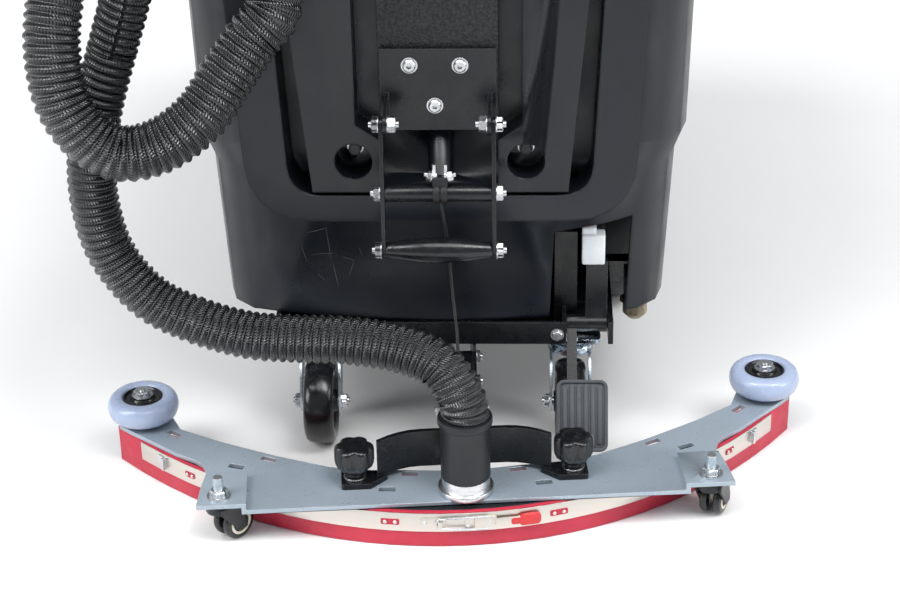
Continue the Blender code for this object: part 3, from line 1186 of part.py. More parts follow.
def squeegee_bracket(squeegee):
    feet = []
    half = ARCH_THICKNESS / 2
    arch = strip(arch_line, -half, half, spread(-ARCH_END, ARCH_END, 17), ARCH_BOTTOM, ARCH_TOP)
    low = PLATE_TOP + GAP
    for side in (-1, 1):
        toe = ARCH_END - 0.011
        foot = rounded([(side * (KNOB_X - 0.0165), KNOB_Y - 0.017), (side * (KNOB_X + 0.0150), KNOB_Y - 0.017),
                        (side * (KNOB_X + 0.0150), KNOB_Y + 0.015), (side * ARCH_END, arch_line(ARCH_END) + 0.009),
                        (side * toe, arch_line(toe) + 0.007), (side * toe, arch_line(toe) - 0.007)], 0.003, 2)
        feet.append(prism(foot, "z", low, low + FOOT_THICKNESS))
    rear_y = -LINK_LENGTH
    lugs = []
    for side in (-1, 1):
        inner, outer = sorted((side * CLEVIS_INNER, side * (CLEVIS_INNER + CLEVIS_WALL)))
        lug = [(ARCH_Y - half + 0.001, ARCH_BOTTOM + 0.006), (ARCH_Y + half + 0.002, LINK_LOWER_Z - 0.012),
               (rear_y + 0.010, LINK_LOWER_Z - 0.008), (rear_y + 0.010, LINK_UPPER_Z + 0.006),
               (rear_y + 0.002, LINK_UPPER_Z + 0.010), (rear_y - 0.010, LINK_UPPER_Z + 0.006),
               (ARCH_Y - half + 0.001, ARCH_TOP - 0.002)]
        lugs.append(prism(lug, "x", inner, outer))
    reach = CLEVIS_INNER + 0.001
    pins = [rod(LINK_PIN_RADIUS, (0, rear_y, z), "x", -reach, reach, 14) for z in (LINK_UPPER_Z, LINK_LOWER_Z)]
    piece("squeegee_bracket", COATED, squeegee, arch, feet + lugs + pins)


def link_pieces(squeegee):
    for name, z in (("upper_link", LINK_UPPER_Z), ("lower_link", LINK_LOWER_Z)):
        outline = stadium((0.0, z), (-LINK_LENGTH, z), LINK_EDGE)
        bores = [rod(LINK_PIN_RADIUS + RUNNING, (0, y, z), "x", -LINK_HALF - 0.01, LINK_HALF + 0.01, 14)
                 for y in (0.0, -LINK_LENGTH)]
        eye = [(CABLE_EYE_Y - 0.009, z), (CABLE_EYE_Y + 0.009, z), (CABLE_EYE_Y + 0.006, CABLE_EYE_Z - 0.003),
               (CABLE_EYE_Y + 0.003, CABLE_EYE_Z), (CABLE_EYE_Y - 0.003, CABLE_EYE_Z),
               (CABLE_EYE_Y - 0.006, CABLE_EYE_Z - 0.003)]
        eyes = [prism(eye, "x", -0.004, 0.004)] if z == LINK_UPPER_Z else []
        piece(name, COATED, squeegee, prism(outline, "x", -LINK_HALF, LINK_HALF), eyes, bores, (0, 0, z))


def swing_arm(squeegee):
    """Hub on the swing pin, a top plate and two hanging cheeks for the links."""
    pin_y = SWING_PIN_Y
    top = FRAME_BOTTOM - 0.0015
    plate_low = top - 0.008
    hub_low = FRAME_BOTTOM - 0.0335
    outer = CLEVIS_INNER + CLEVIS_WALL
    base = box((-outer, 0.012, plate_low), (outer, pin_y, top))
    adds = [rod(SWING_PIN_RADIUS + 0.012, (0, pin_y, 0), "z", hub_low, top, 20)]
    for side in (-1, 1):
        near, far = sorted((side * CLEVIS_INNER, side * outer))
        cheek = [(-0.0105, top - 0.006), (-0.0105, LINK_LOWER_Z - 0.010), (0.012, LINK_LOWER_Z - 0.010),
                 (0.055, plate_low + 0.001), (0.055, top), (-0.006, top)]
        adds.append(prism(cheek, "x", near, far))
    reach = CLEVIS_INNER + 0.001
    adds += [rod(LINK_PIN_RADIUS, (0, 0, z), "x", -reach, reach, 14) for z in (LINK_UPPER_Z, LINK_LOWER_Z)]
    for side in (-1, 1):
        near, far = sorted((side * (outer - 0.0005), side * (outer + 0.0045)))
        adds += [nut(0.0075, (0, 0, z), "x", near, far) for z in (LINK_UPPER_Z, LINK_LOWER_Z)]
    bore = rod(SWING_PIN_RADIUS + RUNNING, (0, pin_y, 0), "z", hub_low - 0.01, top + 0.01, 16)
    piece("swing_arm", COATED, squeegee, base, adds, [bore], (0, pin_y, 0))


def bumper_wheels(squeegee):
    high = BUMPER_LOW + BUMPER_WIDTH
    bore = BUMPER_BOLT_RADIUS + RUNNING
    profile = [(bore, BUMPER_LOW - 0.004), (0.012, BUMPER_LOW - 0.004), (0.014, BUMPER_LOW),
               (BUMPER_RADIUS - 0.008, BUMPER_LOW), (BUMPER_RADIUS - 0.0015, BUMPER_LOW + 0.006),
               (BUMPER_RADIUS, BUMPER_LOW + BUMPER_WIDTH / 2), (BUMPER_RADIUS - 0.0015, high - 0.006),
               (BUMPER_RADIUS - 0.008, high), (0.024, high), (0.022, high - 0.003), (bore, high - 0.003)]
    for name, side in (("bumper_wheel_left", -1), ("bumper_wheel_right", 1)):
        piece(name, PALE_TREAD, squeegee, turned(profile, (side * BUMPER_X, 0, 0), "z", 24), (), (),
              (side * BUMPER_X, 0, PLATE_TOP), True)


def stem_casters(squeegee):
    """Small swivel casters under the wings, each at the angle it trails at rest."""
    top = PLATE_TOP - PLATE_THICKNESS + WING_RISE - GAP
    crown_low = 2 * STEM_WHEEL_RADIUS + 0.0006
    half = STEM_WHEEL_WIDTH / 2
    for tag, side in (("left", -1), ("right", 1)):
        frame = frame_at(f"stem_frame_{tag}", side * STEM_X, STEM_Y, STEM_TURNS[tag], squeegee)
        leg = [(0.010, crown_low + 0.001), (0.010, top - 0.003), (-0.010, top - 0.003),
               (-STEM_TRAIL - 0.006, STEM_WHEEL_RADIUS + 0.004), (-STEM_TRAIL - 0.006, STEM_WHEEL_RADIUS - 0.006),
               (-STEM_TRAIL + 0.006, STEM_WHEEL_RADIUS - 0.006)]
        adds = []
        for way in (-1, 1):
            near, far = sorted((way * (half + 0.0006), way * (half + 0.0030)))
            adds.append(prism(leg, "x", near, far))
        adds.append(rod(0.003, (0, -STEM_TRAIL, STEM_WHEEL_RADIUS), "x", -half - 0.0020, half + 0.0020, 12))
        crown = turned([(0, crown_low), (half + 0.0025, crown_low), (half + 0.0025, top - 0.002),
                        (half, top), (0, top)], (0, 0, 0), "z", 18)
        bore = rod(STEM_PIN_RADIUS + RUNNING, (0, 0, 0), "z", PLATE_TOP - PLATE_THICKNESS + WING_RISE - 0.0082,
                   top + 0.01, 12)
        piece(f"stem_caster_{tag}", BLACK, frame, crown, adds, [bore], (0, 0, crown_low))
        bore_r = 0.003 + RUNNING
        profile = [(bore_r, -half), (0.007, -half), (0.009, -half + 0.002), (STEM_WHEEL_RADIUS - 0.004, -half + 0.002),
                   (STEM_WHEEL_RADIUS, -half + 0.006)]
        profile += [(radius, -height) for radius, height in reversed(profile)]
        hub = (0, -STEM_TRAIL, STEM_WHEEL_RADIUS)
        piece(f"stem_wheel_{tag}", BLACK_RUBBER, frame, turned(profile, hub, "x", 16), (), (), hub, True)


def star_knobs(squeegee):
    low = PLATE_TOP + GAP + FOOT_THICKNESS + GAP
    for name, side in (("star_knob_left", -1), ("star_knob_right", 1)):
        centre = Vector((side * KNOB_X, KNOB_Y))
        star = []
        for i in range(30):
            angle = 2 * math.pi * i / 30
            radius = KNOB_RADIUS * (1 - 0.13 * (1 - math.cos(6 * angle)) / 2)
            star.append((centre.x + radius * math.cos(angle), centre.y + radius * math.sin(angle)))
        stem = turned([(0, low), (0.012, low), (0.012, low + 0.0018), (KNOB_STEM_RADIUS, low + 0.0018),
                       (KNOB_STEM_RADIUS + 0.003, KNOB_LOW + 0.001), (0, KNOB_LOW + 0.001)],
                      (centre.x, centre.y, 0), "z", 16)
        piece(name, BLACK, squeegee, prism(star, "z", KNOB_LOW, KNOB_HIGH), [stem], (), (centre.x, centre.y, low))


# ---------------------------------------------------------------- hoses and cable


def smooth_route(points, spacing):
    """Evenly spaced points on a Catmull-Rom curve through the route points."""
    points = [Vector(point) for point in points]
    ends = [points[0] * 2 - points[1]] + points + [points[-1] * 2 - points[-2]]
    fine = []
    for a, b, c, d in zip(ends, ends[1:], ends[2:], ends[3:]):
        for step in range(24):
            t = step / 24
            fine.append(0.5 * (2 * b + (c - a) * t + (2 * a - 5 * b + 4 * c - d) * t**2
                               + (3 * b - a - 3 * c + d) * t**3))
    fine.append(points[-1])
    lengths = [0.0]
    for a, b in zip(fine, fine[1:]):
        lengths.append(lengths[-1] + (b - a).length)
    count = max(2, round(lengths[-1] / spacing) + 1)
    route = []
    index = 0
    for place in spread(0.0, lengths[-1], count):
        while index < len(lengths) - 2 and lengths[index + 1] < place:
            index += 1
        share = (place - lengths[index]) / max(1e-9, lengths[index + 1] - lengths[index])
        route.append(fine[index].lerp(fine[index + 1], min(1.0, share)))
    return route


def cord(name, look, machine, points, radius, spacing, resolution):
    """A round flexible line with closed ends, square to its first and last stretches."""
    curve = bpy.data.curves.new(name, "CURVE")
    curve.dimensions = "3D"
    curve.bevel_depth = radius
    curve.bevel_resolution = resolution
    curve.use_fill_caps = True
    lead = [Vector(points[0]), Vector(points[-1])]
    route = [lead[0]] + smooth_route(points[1:-1], spacing) + [lead[1]]
    spline = curve.splines.new("POLY")
    spline.points.add(len(route) - 1)
    for target, point in zip(spline.points, route):
        target.co = (*point, 1)
    made = bpy.data.objects.new(name, curve)
    bpy.context.scene.collection.objects.link(made)
    curve.materials.append(material_of(look))
    made.parent = machine
    return made


def squeegee_point(x, y, z):
    """A squeegee frame point, in the machine frame."""
    turn = Matrix.Rotation(SWING_AT_REST, 3, "Z")
    pin = Vector((0, SWING_PIN_Y, 0))
    return tuple(pin + turn @ (Vector((x, y, z)) - pin))


def suction_route():
    """From the cuff, out to the left past the body and up to the tank's inlet."""
    inlet_x, inlet_z = SUCTION_INLET
    cuff = squeegee_point(0, PORT_Y, CUFF_TOP + 0.0005)
    rise = squeegee_point(0, PORT_Y, CUFF_TOP + 0.010)
    low = [cuff, rise, (0.021, -0.172, 0.170), (0.000, -0.160, 0.193), (-0.040, -0.146, 0.204),
           (-0.093, -0.136, 0.208), (-0.146, -0.130, 0.207), (-0.200, -0.125, 0.2085),
           (-0.257, -0.118, 0.2225), (-0.307, -0.110, 0.247), (-0.344, -0.100, 0.293),
           (-0.3575, -0.095, 0.350), (-0.3560, -0.090, 0.407)]
    high = [(-0.344, -0.085, -0.142), (-0.327, -0.080, -0.089), (-0.310, -0.077, -0.038),
            (-0.293, -0.079, 0.018), (-0.268, -0.080, 0.078), (-0.238, -0.054, 0.128)]
    end = [(inlet_x - 0.004, -0.026, inlet_z - 0.002), (inlet_x, PORT_FACE - 0.012, inlet_z),
           (inlet_x, PORT_FACE - 0.0008, inlet_z)]
    return low + [(x, y, BODY_TOP + z) for x, y, z in high] + end


def drain_route():
    """From the tank's outlet, down in a loop behind the suction hose and up to its clip."""
    outlet_x, outlet_z = DRAIN_OUTLET
    behind = -0.091 - SUCTION_RADIUS - DRAIN_HOSE_RADIUS
    loop = [(-0.180, behind + 0.086, 0.023), (-0.158, behind + 0.061, -0.037), (-0.183, behind + 0.046, -0.073),
            (-0.2085, behind + 0.031, -0.107), (-0.235, behind + 0.016, -0.142), (-0.273, behind + 0.006, -0.168),
            (-0.314, behind, -0.1745), (-0.347, behind, -0.155), (-0.369, behind + 0.005, -0.119),
            (-0.376, behind + 0.016, -0.070), (-0.372, behind + 0.036, -0.022), (-0.363, behind + 0.081, 0.043),
            (-0.345, -0.010, 0.108), (-0.327, 0.045, 0.163), (-0.3165, 0.070, 0.213)]
    start = [(outlet_x, PORT_FACE - 0.0008, outlet_z), (outlet_x, PORT_FACE - 0.012, outlet_z),
             (outlet_x + 0.003, -0.026, outlet_z - 0.006)]
    return start + [(x, y, BODY_TOP + z) for x, y, z in loop]


def cable_route():
    bar_y, bar_z = lever_point(LEVER_BAR_SHARE)
    start = (0.0, bar_y + LEVER_BAR_RADIUS + CABLE_RADIUS + 0.0004, bar_z - 0.002)
    end = squeegee_point(0, CABLE_EYE_Y, CABLE_EYE_Z + 0.0008)
    return [start, (0.003, bar_y + 0.014, bar_z - 0.026), (0.008, -0.0385, 0.275), (0.013, -0.046, 0.215),
            (end[0] - 0.001, end[1] + 0.006, end[2] + 0.025), end]


def hose_pieces(machine):
    cord("suction_hose", BLACK_RUBBER, machine, suction_route(), SUCTION_RADIUS, 0.034, 2)
    cord("drain_hose", BLACK_RUBBER, machine, drain_route(), DRAIN_HOSE_RADIUS, 0.034, 2)
    cord("lift_cable", ZINC, machine, cable_route(), CABLE_RADIUS, 0.020, 1)
    end = Vector(drain_route()[-1])
    way = (end - Vector(drain_route()[-2])).normalized()
    turn = Vector((0, 0, 1)).rotation_difference(way).to_matrix().to_4x4()
    cap = turned([(0, 0.002), (DRAIN_HOSE_RADIUS + 0.002, 0.002), (DRAIN_HOSE_RADIUS + 0.002, 0.020), (0.012, 0.024),
                  (0.012, 0.034), (0, 0.035)], (0, 0, 0), "z", 20)
    bmesh.ops.transform(cap, matrix=Matrix.Translation(end) @ turn, verts=cap.verts[:])
    piece("drain_cap", BLACK, machine, cap, (), (), (0, 0, 0), True)


def main():
    clear_scene()
    machine = frame_at("machine_frame", -MIDDLE_X, -MIDDLE_Y, 0.0)
    pivot = squeegee_point(0, 0, 0)
    squeegee = frame_at("squeegee_frame", pivot[0], pivot[1], SWING_AT_REST, machine)
    bpy.context.view_layer.update()
    for build in (chassis_frame, solution_tank, rear_column, column_panel, lift_bracket, lever_pieces, pedal_pieces,
                  main_wheels, caster_pieces, deck_pieces, vacuum_motor, battery_pieces, recovery_tank, tank_lid,
                  console_housing, handle_bar, drive_bail, controls, drain_cock, hose_pieces):
        build(machine)
    for build in (squeegee_plate, blade_carrier, blades, port_pieces, squeegee_bracket, link_pieces, swing_arm,
                  bumper_wheels, stem_casters, star_knobs):
        build(squeegee)


main()
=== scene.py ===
import json
import math

import bmesh
import bpy
from mathutils import Matrix, Vector


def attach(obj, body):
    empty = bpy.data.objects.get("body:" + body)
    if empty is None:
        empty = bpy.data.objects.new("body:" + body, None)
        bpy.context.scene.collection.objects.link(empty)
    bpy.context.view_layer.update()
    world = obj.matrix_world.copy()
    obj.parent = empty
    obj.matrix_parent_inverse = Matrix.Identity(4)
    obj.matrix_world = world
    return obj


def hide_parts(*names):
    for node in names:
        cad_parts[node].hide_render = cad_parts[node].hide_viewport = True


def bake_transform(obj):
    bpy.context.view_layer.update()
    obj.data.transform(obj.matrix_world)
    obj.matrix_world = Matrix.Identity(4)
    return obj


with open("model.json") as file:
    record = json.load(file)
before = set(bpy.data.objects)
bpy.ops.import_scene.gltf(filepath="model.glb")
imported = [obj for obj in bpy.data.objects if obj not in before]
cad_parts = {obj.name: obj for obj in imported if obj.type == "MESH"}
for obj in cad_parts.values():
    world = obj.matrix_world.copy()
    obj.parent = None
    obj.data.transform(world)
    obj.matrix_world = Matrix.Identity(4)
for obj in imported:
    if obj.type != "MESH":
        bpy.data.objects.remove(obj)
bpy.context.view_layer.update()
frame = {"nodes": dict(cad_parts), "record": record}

scene = bpy.context.scene
nodes = frame["nodes"]
bodyOf = {n: body for body, members in frame["record"]["behaviour"]["bodies"].items()
    for n in members}

# The machine frame has y = 0 through the squeegee's bumper wheels and z = 0 on the floor.
layout = {"middleX": 0.0123, "middleY": 0.3685, "swingPinY": 0.134, "swing": math.radians(5.265)}
machineFrame = Matrix.Translation((-layout["middleX"], -layout["middleY"], 0))
swingPin = Matrix.Translation((0, layout["swingPinY"], 0))
squeegeeFrame = machineFrame @ swingPin @ Matrix.Rotation(layout["swing"], 4,
    "Z") @ swingPin.inverted()


def onMachine(*point):
    return machineFrame @ Vector(point)


def onSqueegee(*point):
    return squeegeeFrame @ Vector(point)


# Camera
cameraSetup = {"place": (0.0827, -2.4058, 1.2462), "yaw": -2.453, "pitch": 27.481, "roll": -1.102,
    "lens": 82.4}


def addCamera():
    yaw, pitch, roll = (math.radians(cameraSetup[k]) for k in ("yaw", "pitch", "roll"))
    forward = Vector((math.sin(yaw) * math.cos(pitch), math.cos(yaw) * math.cos(pitch),
        -math.sin(pitch)))
    levelRight = Vector((math.cos(yaw), -math.sin(yaw), 0))
    levelUp = levelRight.cross(forward)
    right = math.cos(roll) * levelRight + math.sin(roll) * levelUp
    up = -math.sin(roll) * levelRight + math.cos(roll) * levelUp
    data = bpy.data.cameras.new("camera")
    data.lens = cameraSetup["lens"]
    data.sensor_width = 36
    made = bpy.data.objects.new("camera", data)
    scene.collection.objects.link(made)
    turn = Matrix((right, up, -forward)).transposed().to_4x4()
    made.matrix_world = Matrix.Translation(cameraSetup["place"]) @ turn
    scene.camera = made


# Materials
def wire(tree, source, target):
    tree.links.new(source, target)


def addNode(tree, kind, **values):
    made = tree.nodes.new(kind)
    for key, value in values.items():
        if hasattr(made, key):
            setattr(made, key, value)
        else:
            made.inputs[key.replace("_", " ")].default_value = value
    return made


# Colour that drifts between two tones, fine grain in the surface and softened edges.
def finish(name, base, second, rough=(0.35, 0.55), metallic=0.0, patch=7.0, grain=700.0,
        depth=0.0002, stretch=(1, 1, 1), edge=0.0006, worn=None, sockets=None):
    material = bpy.data.materials.new(name)
    material.use_nodes = True
    tree = material.node_tree
    shader = tree.nodes["Principled BSDF"]
    shader.inputs["Metallic"].default_value = metallic
    for key, value in (sockets or {}).items():
        shader.inputs[key].default_value = value
    place = addNode(tree, "ShaderNodeTexCoord")
    mapping = addNode(tree, "ShaderNodeMapping")
    mapping.inputs["Scale"].default_value = stretch
    wire(tree, place.outputs["Object"], mapping.inputs["Vector"])
    drift = addNode(tree, "ShaderNodeTexNoise", Scale=patch, Detail=6.0, Roughness=0.62)
    wire(tree, mapping.outputs[0], drift.inputs["Vector"])
    tones = addNode(tree, "ShaderNodeValToRGB")
    tones.color_ramp.elements[0].position = 0.34
    tones.color_ramp.elements[0].color = (*base, 1)
    tones.color_ramp.elements[1].position = 0.68
    tones.color_ramp.elements[1].color = (*second, 1)
    wire(tree, drift.outputs["Fac"], tones.inputs["Fac"])
    colour = tones.outputs["Color"]
    dust = addNode(tree, "ShaderNodeTexNoise", Scale=patch * 5, Detail=5.0)
    wire(tree, mapping.outputs[0], dust.inputs["Vector"])
    gloss = addNode(tree, "ShaderNodeMapRange")
    gloss.inputs["From Min"].default_value = 0.3
    gloss.inputs["From Max"].default_value = 0.7
    gloss.inputs["To Min"].default_value = rough[0]
    gloss.inputs["To Max"].default_value = rough[1]
    wire(tree, dust.outputs["Fac"], gloss.inputs["Value"])
    wire(tree, gloss.outputs[0], shader.inputs["Roughness"])
    soft = addNode(tree, "ShaderNodeBevel", samples=4)
    soft.inputs["Radius"].default_value = edge
    if worn:
        shape = addNode(tree, "ShaderNodeNewGeometry")
        dot = addNode(tree, "ShaderNodeVectorMath", operation="DOT_PRODUCT")
        wire(tree, soft.outputs[0], dot.inputs[0])
        wire(tree, shape.outputs["Normal"], dot.inputs[1])
        rub = addNode(tree, "ShaderNodeMapRange")
        rub.inputs["From Min"].default_value = 0.985
        rub.inputs["From Max"].default_value = 0.93
        wire(tree, dot.outputs["Value"], rub.inputs["Value"])
        patchy = addNode(tree, "ShaderNodeMath", operation="MULTIPLY")
        wire(tree, rub.outputs[0], patchy.inputs[0])
        wire(tree, dust.outputs["Fac"], patchy.inputs[1])
        blend = addNode(tree, "ShaderNodeMix", data_type="RGBA")
        wire(tree, patchy.outputs[0], blend.inputs["Factor"])
        wire(tree, colour, blend.inputs[6])  # the colour sockets A and B of a Mix node are 6 and 7
        blend.inputs[7].default_value = (*worn, 1)
        colour = blend.outputs[2]
    wire(tree, colour, shader.inputs["Base Color"])
    skin = addNode(tree, "ShaderNodeTexNoise", Scale=grain, Detail=3.0)
    wire(tree, mapping.outputs[0], skin.inputs["Vector"])
    bump = addNode(tree, "ShaderNodeBump", Strength=0.6, Distance=depth)
    wire(tree, skin.outputs["Fac"], bump.inputs["Height"])
    wire(tree, soft.outputs[0], bump.inputs["Normal"])
    wire(tree, bump.outputs[0], shader.inputs["Normal"])
    return material


looks = {"bodyBlack": finish("mouldedBlack", (0.0040, 0.0065, 0.0105), (0.0070, 0.0105, 0.0165),
    (0.27, 0.42), patch=4, grain=520, depth=0.0003, edge=0.005,
    sockets={"Specular IOR Level": 0.42}), "columnBlack": finish("columnBlack", (0.0045, 0.0062,
    0.0092), (0.0072, 0.0095, 0.0135), (0.24, 0.38), patch=6, grain=420, depth=0.0002, edge=0.003,
    sockets={"Specular IOR Level": 0.42}), "panelBlack": finish("crackleBlack", (0.0020, 0.0022,
    0.0028), (0.0300, 0.0310, 0.0330), (0.25, 0.60), patch=300, grain=420, depth=0.0030, edge=0.001,
    sockets={"Specular IOR Level": 0.35}), "coatedBlack": finish("coatedBlack", (0.0040, 0.0046,
    0.0058), (0.0080, 0.0090, 0.0110), (0.20, 0.36), patch=14, grain=900, depth=0.00015,
    edge=0.0009, worn=(0.10, 0.105, 0.11), sockets={"Specular IOR Level": 0.40}),
    "powderGrey": finish("powderGrey", (0.325, 0.390, 0.455), (0.375, 0.440, 0.505), (0.24, 0.36),
    0.35, patch=9, grain=1300, depth=0.00018, edge=0.0010, worn=(0.66, 0.70, 0.74)),
    "zinc": finish("zincPlate", (0.48, 0.50, 0.53), (0.68, 0.69, 0.70), (0.20, 0.42), 1.0, patch=60,
    grain=1600, depth=0.0001, edge=0.0004, worn=(0.85, 0.85, 0.85)), "blueZinc": finish("blueZinc",
    (0.36, 0.46, 0.56), (0.62, 0.68, 0.72), (0.16, 0.34), 1.0, patch=30, grain=1300, depth=0.0001,
    edge=0.0008, worn=(0.80, 0.84, 0.88)), "stainless": finish("brushedStainless", (0.56, 0.53,
    0.49), (0.66, 0.63, 0.58), (0.26, 0.42), 1.0, patch=10, grain=1500, depth=0.00015,
    stretch=(0.06, 0.06, 1), edge=0.0003), "alloy": finish("machinedAlloy", (0.60, 0.62, 0.64),
    (0.74, 0.75, 0.76), (0.22, 0.36), 1.0, patch=25, grain=900, depth=0.0001, stretch=(1, 1, 6),
    edge=0.0005), "castBlack": finish("castBlack", (0.010, 0.010, 0.012), (0.017, 0.017, 0.019),
    (0.45, 0.62), 0.3, patch=20, grain=300, depth=0.0006, edge=0.0015),
    "crimson": finish("crimsonRubber", (0.44, 0.012, 0.038), (0.53, 0.020, 0.052), (0.40, 0.58),
    patch=18, grain=900, depth=0.0002, edge=0.0006, sockets={"Subsurface Weight": 0.08}),
    "blackRubber": finish("blackRubber", (0.0085, 0.0100, 0.0125), (0.0125, 0.0145, 0.0175), (0.34,
    0.52), patch=22, grain=800, depth=0.0002, edge=0.0006, sockets={"Specular IOR Level": 0.42}),
    "darkCable": finish("oiledCable", (0.030, 0.030, 0.032), (0.055, 0.054, 0.052), (0.35, 0.55),
    0.6, patch=60, grain=1500, depth=0.0001, edge=0.0003), "glossRubber": finish("glossyBlack",
    (0.006, 0.0065, 0.0075), (0.010, 0.011, 0.013), (0.14, 0.30), patch=22, grain=600, depth=0.0001,
    edge=0.0008), "greyRubber": finish("padGrey", (0.052, 0.060, 0.070), (0.080, 0.088, 0.100),
    (0.50, 0.72), patch=26, grain=700, depth=0.0004, edge=0.0008, worn=(0.14, 0.15, 0.165)),
    "periwinkle": finish("periwinkleTread", (0.33, 0.40, 0.56), (0.36, 0.43, 0.59), (0.20, 0.34),
    patch=14, grain=500, depth=0.0001, edge=0.001, sockets={"Coat Weight": 0.35,
    "Subsurface Weight": 0.06}), "tankGrey": finish("tankGrey", (0.105, 0.125, 0.150), (0.135,
    0.158, 0.185), (0.36, 0.52), patch=5, grain=480, depth=0.00035, edge=0.004),
    "redPlastic": finish("redPlastic", (0.52, 0.010, 0.016), (0.62, 0.018, 0.022), (0.18, 0.32),
    patch=20, grain=700, depth=0.0001, edge=0.0008, sockets={"Coat Weight": 0.3}),
    "brass": finish("dullBrass", (0.26, 0.22, 0.14), (0.40, 0.35, 0.24), (0.24, 0.44), 1.0,
    patch=50, grain=1200, depth=0.0001, edge=0.0006), "bristle": finish("bristleBlue", (0.010,
    0.055, 0.21), (0.020, 0.10, 0.32), (0.40, 0.60), patch=90, grain=900, depth=0.0002,
    edge=0.0004), "battery": finish("batteryCase", (0.035, 0.036, 0.040), (0.055, 0.056, 0.060),
    (0.40, 0.60), patch=8, grain=600, depth=0.0003, edge=0.003), "scuff": finish("scuffMark",
    (0.030, 0.036, 0.046), (0.085, 0.095, 0.110), (0.45, 0.65), patch=220, grain=900, depth=0.0001,
    edge=0.0001), "cream": finish("creamPlastic", (0.66, 0.62, 0.50), (0.74, 0.70, 0.58), (0.30,
    0.45), patch=40, grain=900, depth=0.0001, edge=0.0004), "whitePlastic": finish("whitePlastic",
    (0.72, 0.75, 0.78), (0.84, 0.86, 0.88), (0.30, 0.48), patch=30, grain=700, depth=0.0003,
    edge=0.002, sockets={"Subsurface Weight": 0.1}),}
print("materials:", len(looks))


# Pieces from shapes
# The object's evaluated mesh, with its modifiers worked in.
def plainMesh(holder):
    graph = bpy.context.evaluated_depsgraph_get()
    made = bpy.data.meshes.new_from_object(holder.evaluated_get(graph))
    holder.modifiers.clear()
    holder.data = made
    return made


# One piece of the machine from a bmesh whose points are already in place.
def addPiece(name, shape, materials, body, bevel=0.0, steps=2, angle=35, stands=()):
    data = bpy.data.meshes.new(name)
    shape.to_mesh(data)
    shape.free()
    for material in materials:
        data.materials.append(material)
    made = bpy.data.objects.new(name, data)
    scene.collection.objects.link(made)
    if bevel:
        rounding = made.modifiers.new("rounding", "BEVEL")
        rounding.width = bevel
        rounding.segments = steps
        rounding.limit_method = "ANGLE"
        rounding.angle_limit = math.radians(angle)
        rounding.miter_outer = "MITER_ARC"
        plainMesh(made)
    for face in made.data.polygons:
        face.use_smooth = True
    made.data.set_sharp_from_angle(angle=math.radians(angle))
    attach(made, body)
    if stands:
        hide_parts(*stands)
    return made


# A clean copy of a solid with rounded edges.
def dress(node, look, bevel=0.0006, steps=2, angle=35):
    shape = bmesh.new()
    shape.from_mesh(nodes[node].data)
    bmesh.ops.remove_doubles(shape, verts=shape.verts[:], dist=2e-6)
    bmesh.ops.dissolve_limit(shape, angle_limit=math.radians(0.6), verts=shape.verts[:],
        edges=shape.edges[:])
    return addPiece(node + "_finished", shape, [looks[look]], bodyOf[node], bevel, steps, angle,
        (node,))


# A closed profile of (radius, height) pairs spun about an axis through the place.
def turnedShape(profile, segments, place, axis="z"):
    shape = bmesh.new()
    rings = []
    for radius, height in profile:
        if radius < 1e-7:
            rings.append([shape.verts.new((0, 0, height))] * segments)
            continue
        rings.append([shape.verts.new((radius * math.cos(math.tau * i / segments), radius
            * math.sin(math.tau * i / segments), height)) for i in range(segments)])
    for first, second in zip(rings, rings[1:] + rings[:1]):
        for i in range(segments):
            j = (i + 1) % segments
            corners = list(dict.fromkeys((first[i], first[j], second[j], second[i])))
            if len(corners) > 2:
                shape.faces.new(corners)
    turn = {"x": Matrix.Rotation(math.pi / 2, 4, "Y"), "y": Matrix.Rotation(-math.pi / 2, 4, "X"),
        "z": Matrix.Identity(4)}[axis]
    frameAt = place if isinstance(place, Matrix) else Matrix.Translation(place)
    bmesh.ops.transform(shape, matrix=frameAt @ turn, verts=shape.verts[:])
    bmesh.ops.recalc_face_normals(shape, faces=shape.faces[:])
    return shape


# Hoses and the lift cable
hose = {"pitch": 0.0092, "depth": 0.0034, "rows": 9, "around": 40}
suctionRoute = [onSqueegee(0, -0.176, 0.1405), onSqueegee(0, -0.176, 0.150)] + [onMachine(*p)
    for p in ((0.021, -0.172, 0.170), (0.000, -0.160, 0.193), (-0.040, -0.146, 0.204), (-0.093,
    -0.136, 0.208), (-0.146, -0.130, 0.207), (-0.200, -0.125, 0.2085), (-0.257, -0.118, 0.2225),
    (-0.307, -0.110, 0.247), (-0.344, -0.100, 0.293), (-0.3575, -0.095, 0.350), (-0.356, -0.090,
    0.407), (-0.344, -0.085, 0.460), (-0.327, -0.080, 0.513), (-0.310, -0.077, 0.564), (-0.293,
    -0.079, 0.620), (-0.268, -0.080, 0.680), (-0.238, -0.054, 0.730), (-0.219, -0.026, 0.743),
    (-0.215, 0.008, 0.745), (-0.215, 0.0192, 0.745))]
drainRoute = [onMachine(*p) for p in ((-0.200, 0.0192, 0.660), (-0.200, 0.008, 0.660), (-0.197,
    -0.026, 0.654), (-0.180, -0.060, 0.625), (-0.158, -0.085, 0.565), (-0.183, -0.100, 0.529),
    (-0.2085, -0.115, 0.495), (-0.235, -0.130, 0.460), (-0.273, -0.140, 0.434), (-0.314, -0.146,
    0.4275), (-0.347, -0.146, 0.447), (-0.369, -0.141, 0.483), (-0.376, -0.130, 0.532), (-0.372,
    -0.110, 0.580), (-0.363, -0.065, 0.645), (-0.345, -0.010, 0.710), (-0.327, 0.045, 0.765),
    (-0.3165, 0.070, 0.815))]
leverBar = (-0.0554, 0.34186)
cableEnd = onSqueegee(0, -0.066, 0.1508)
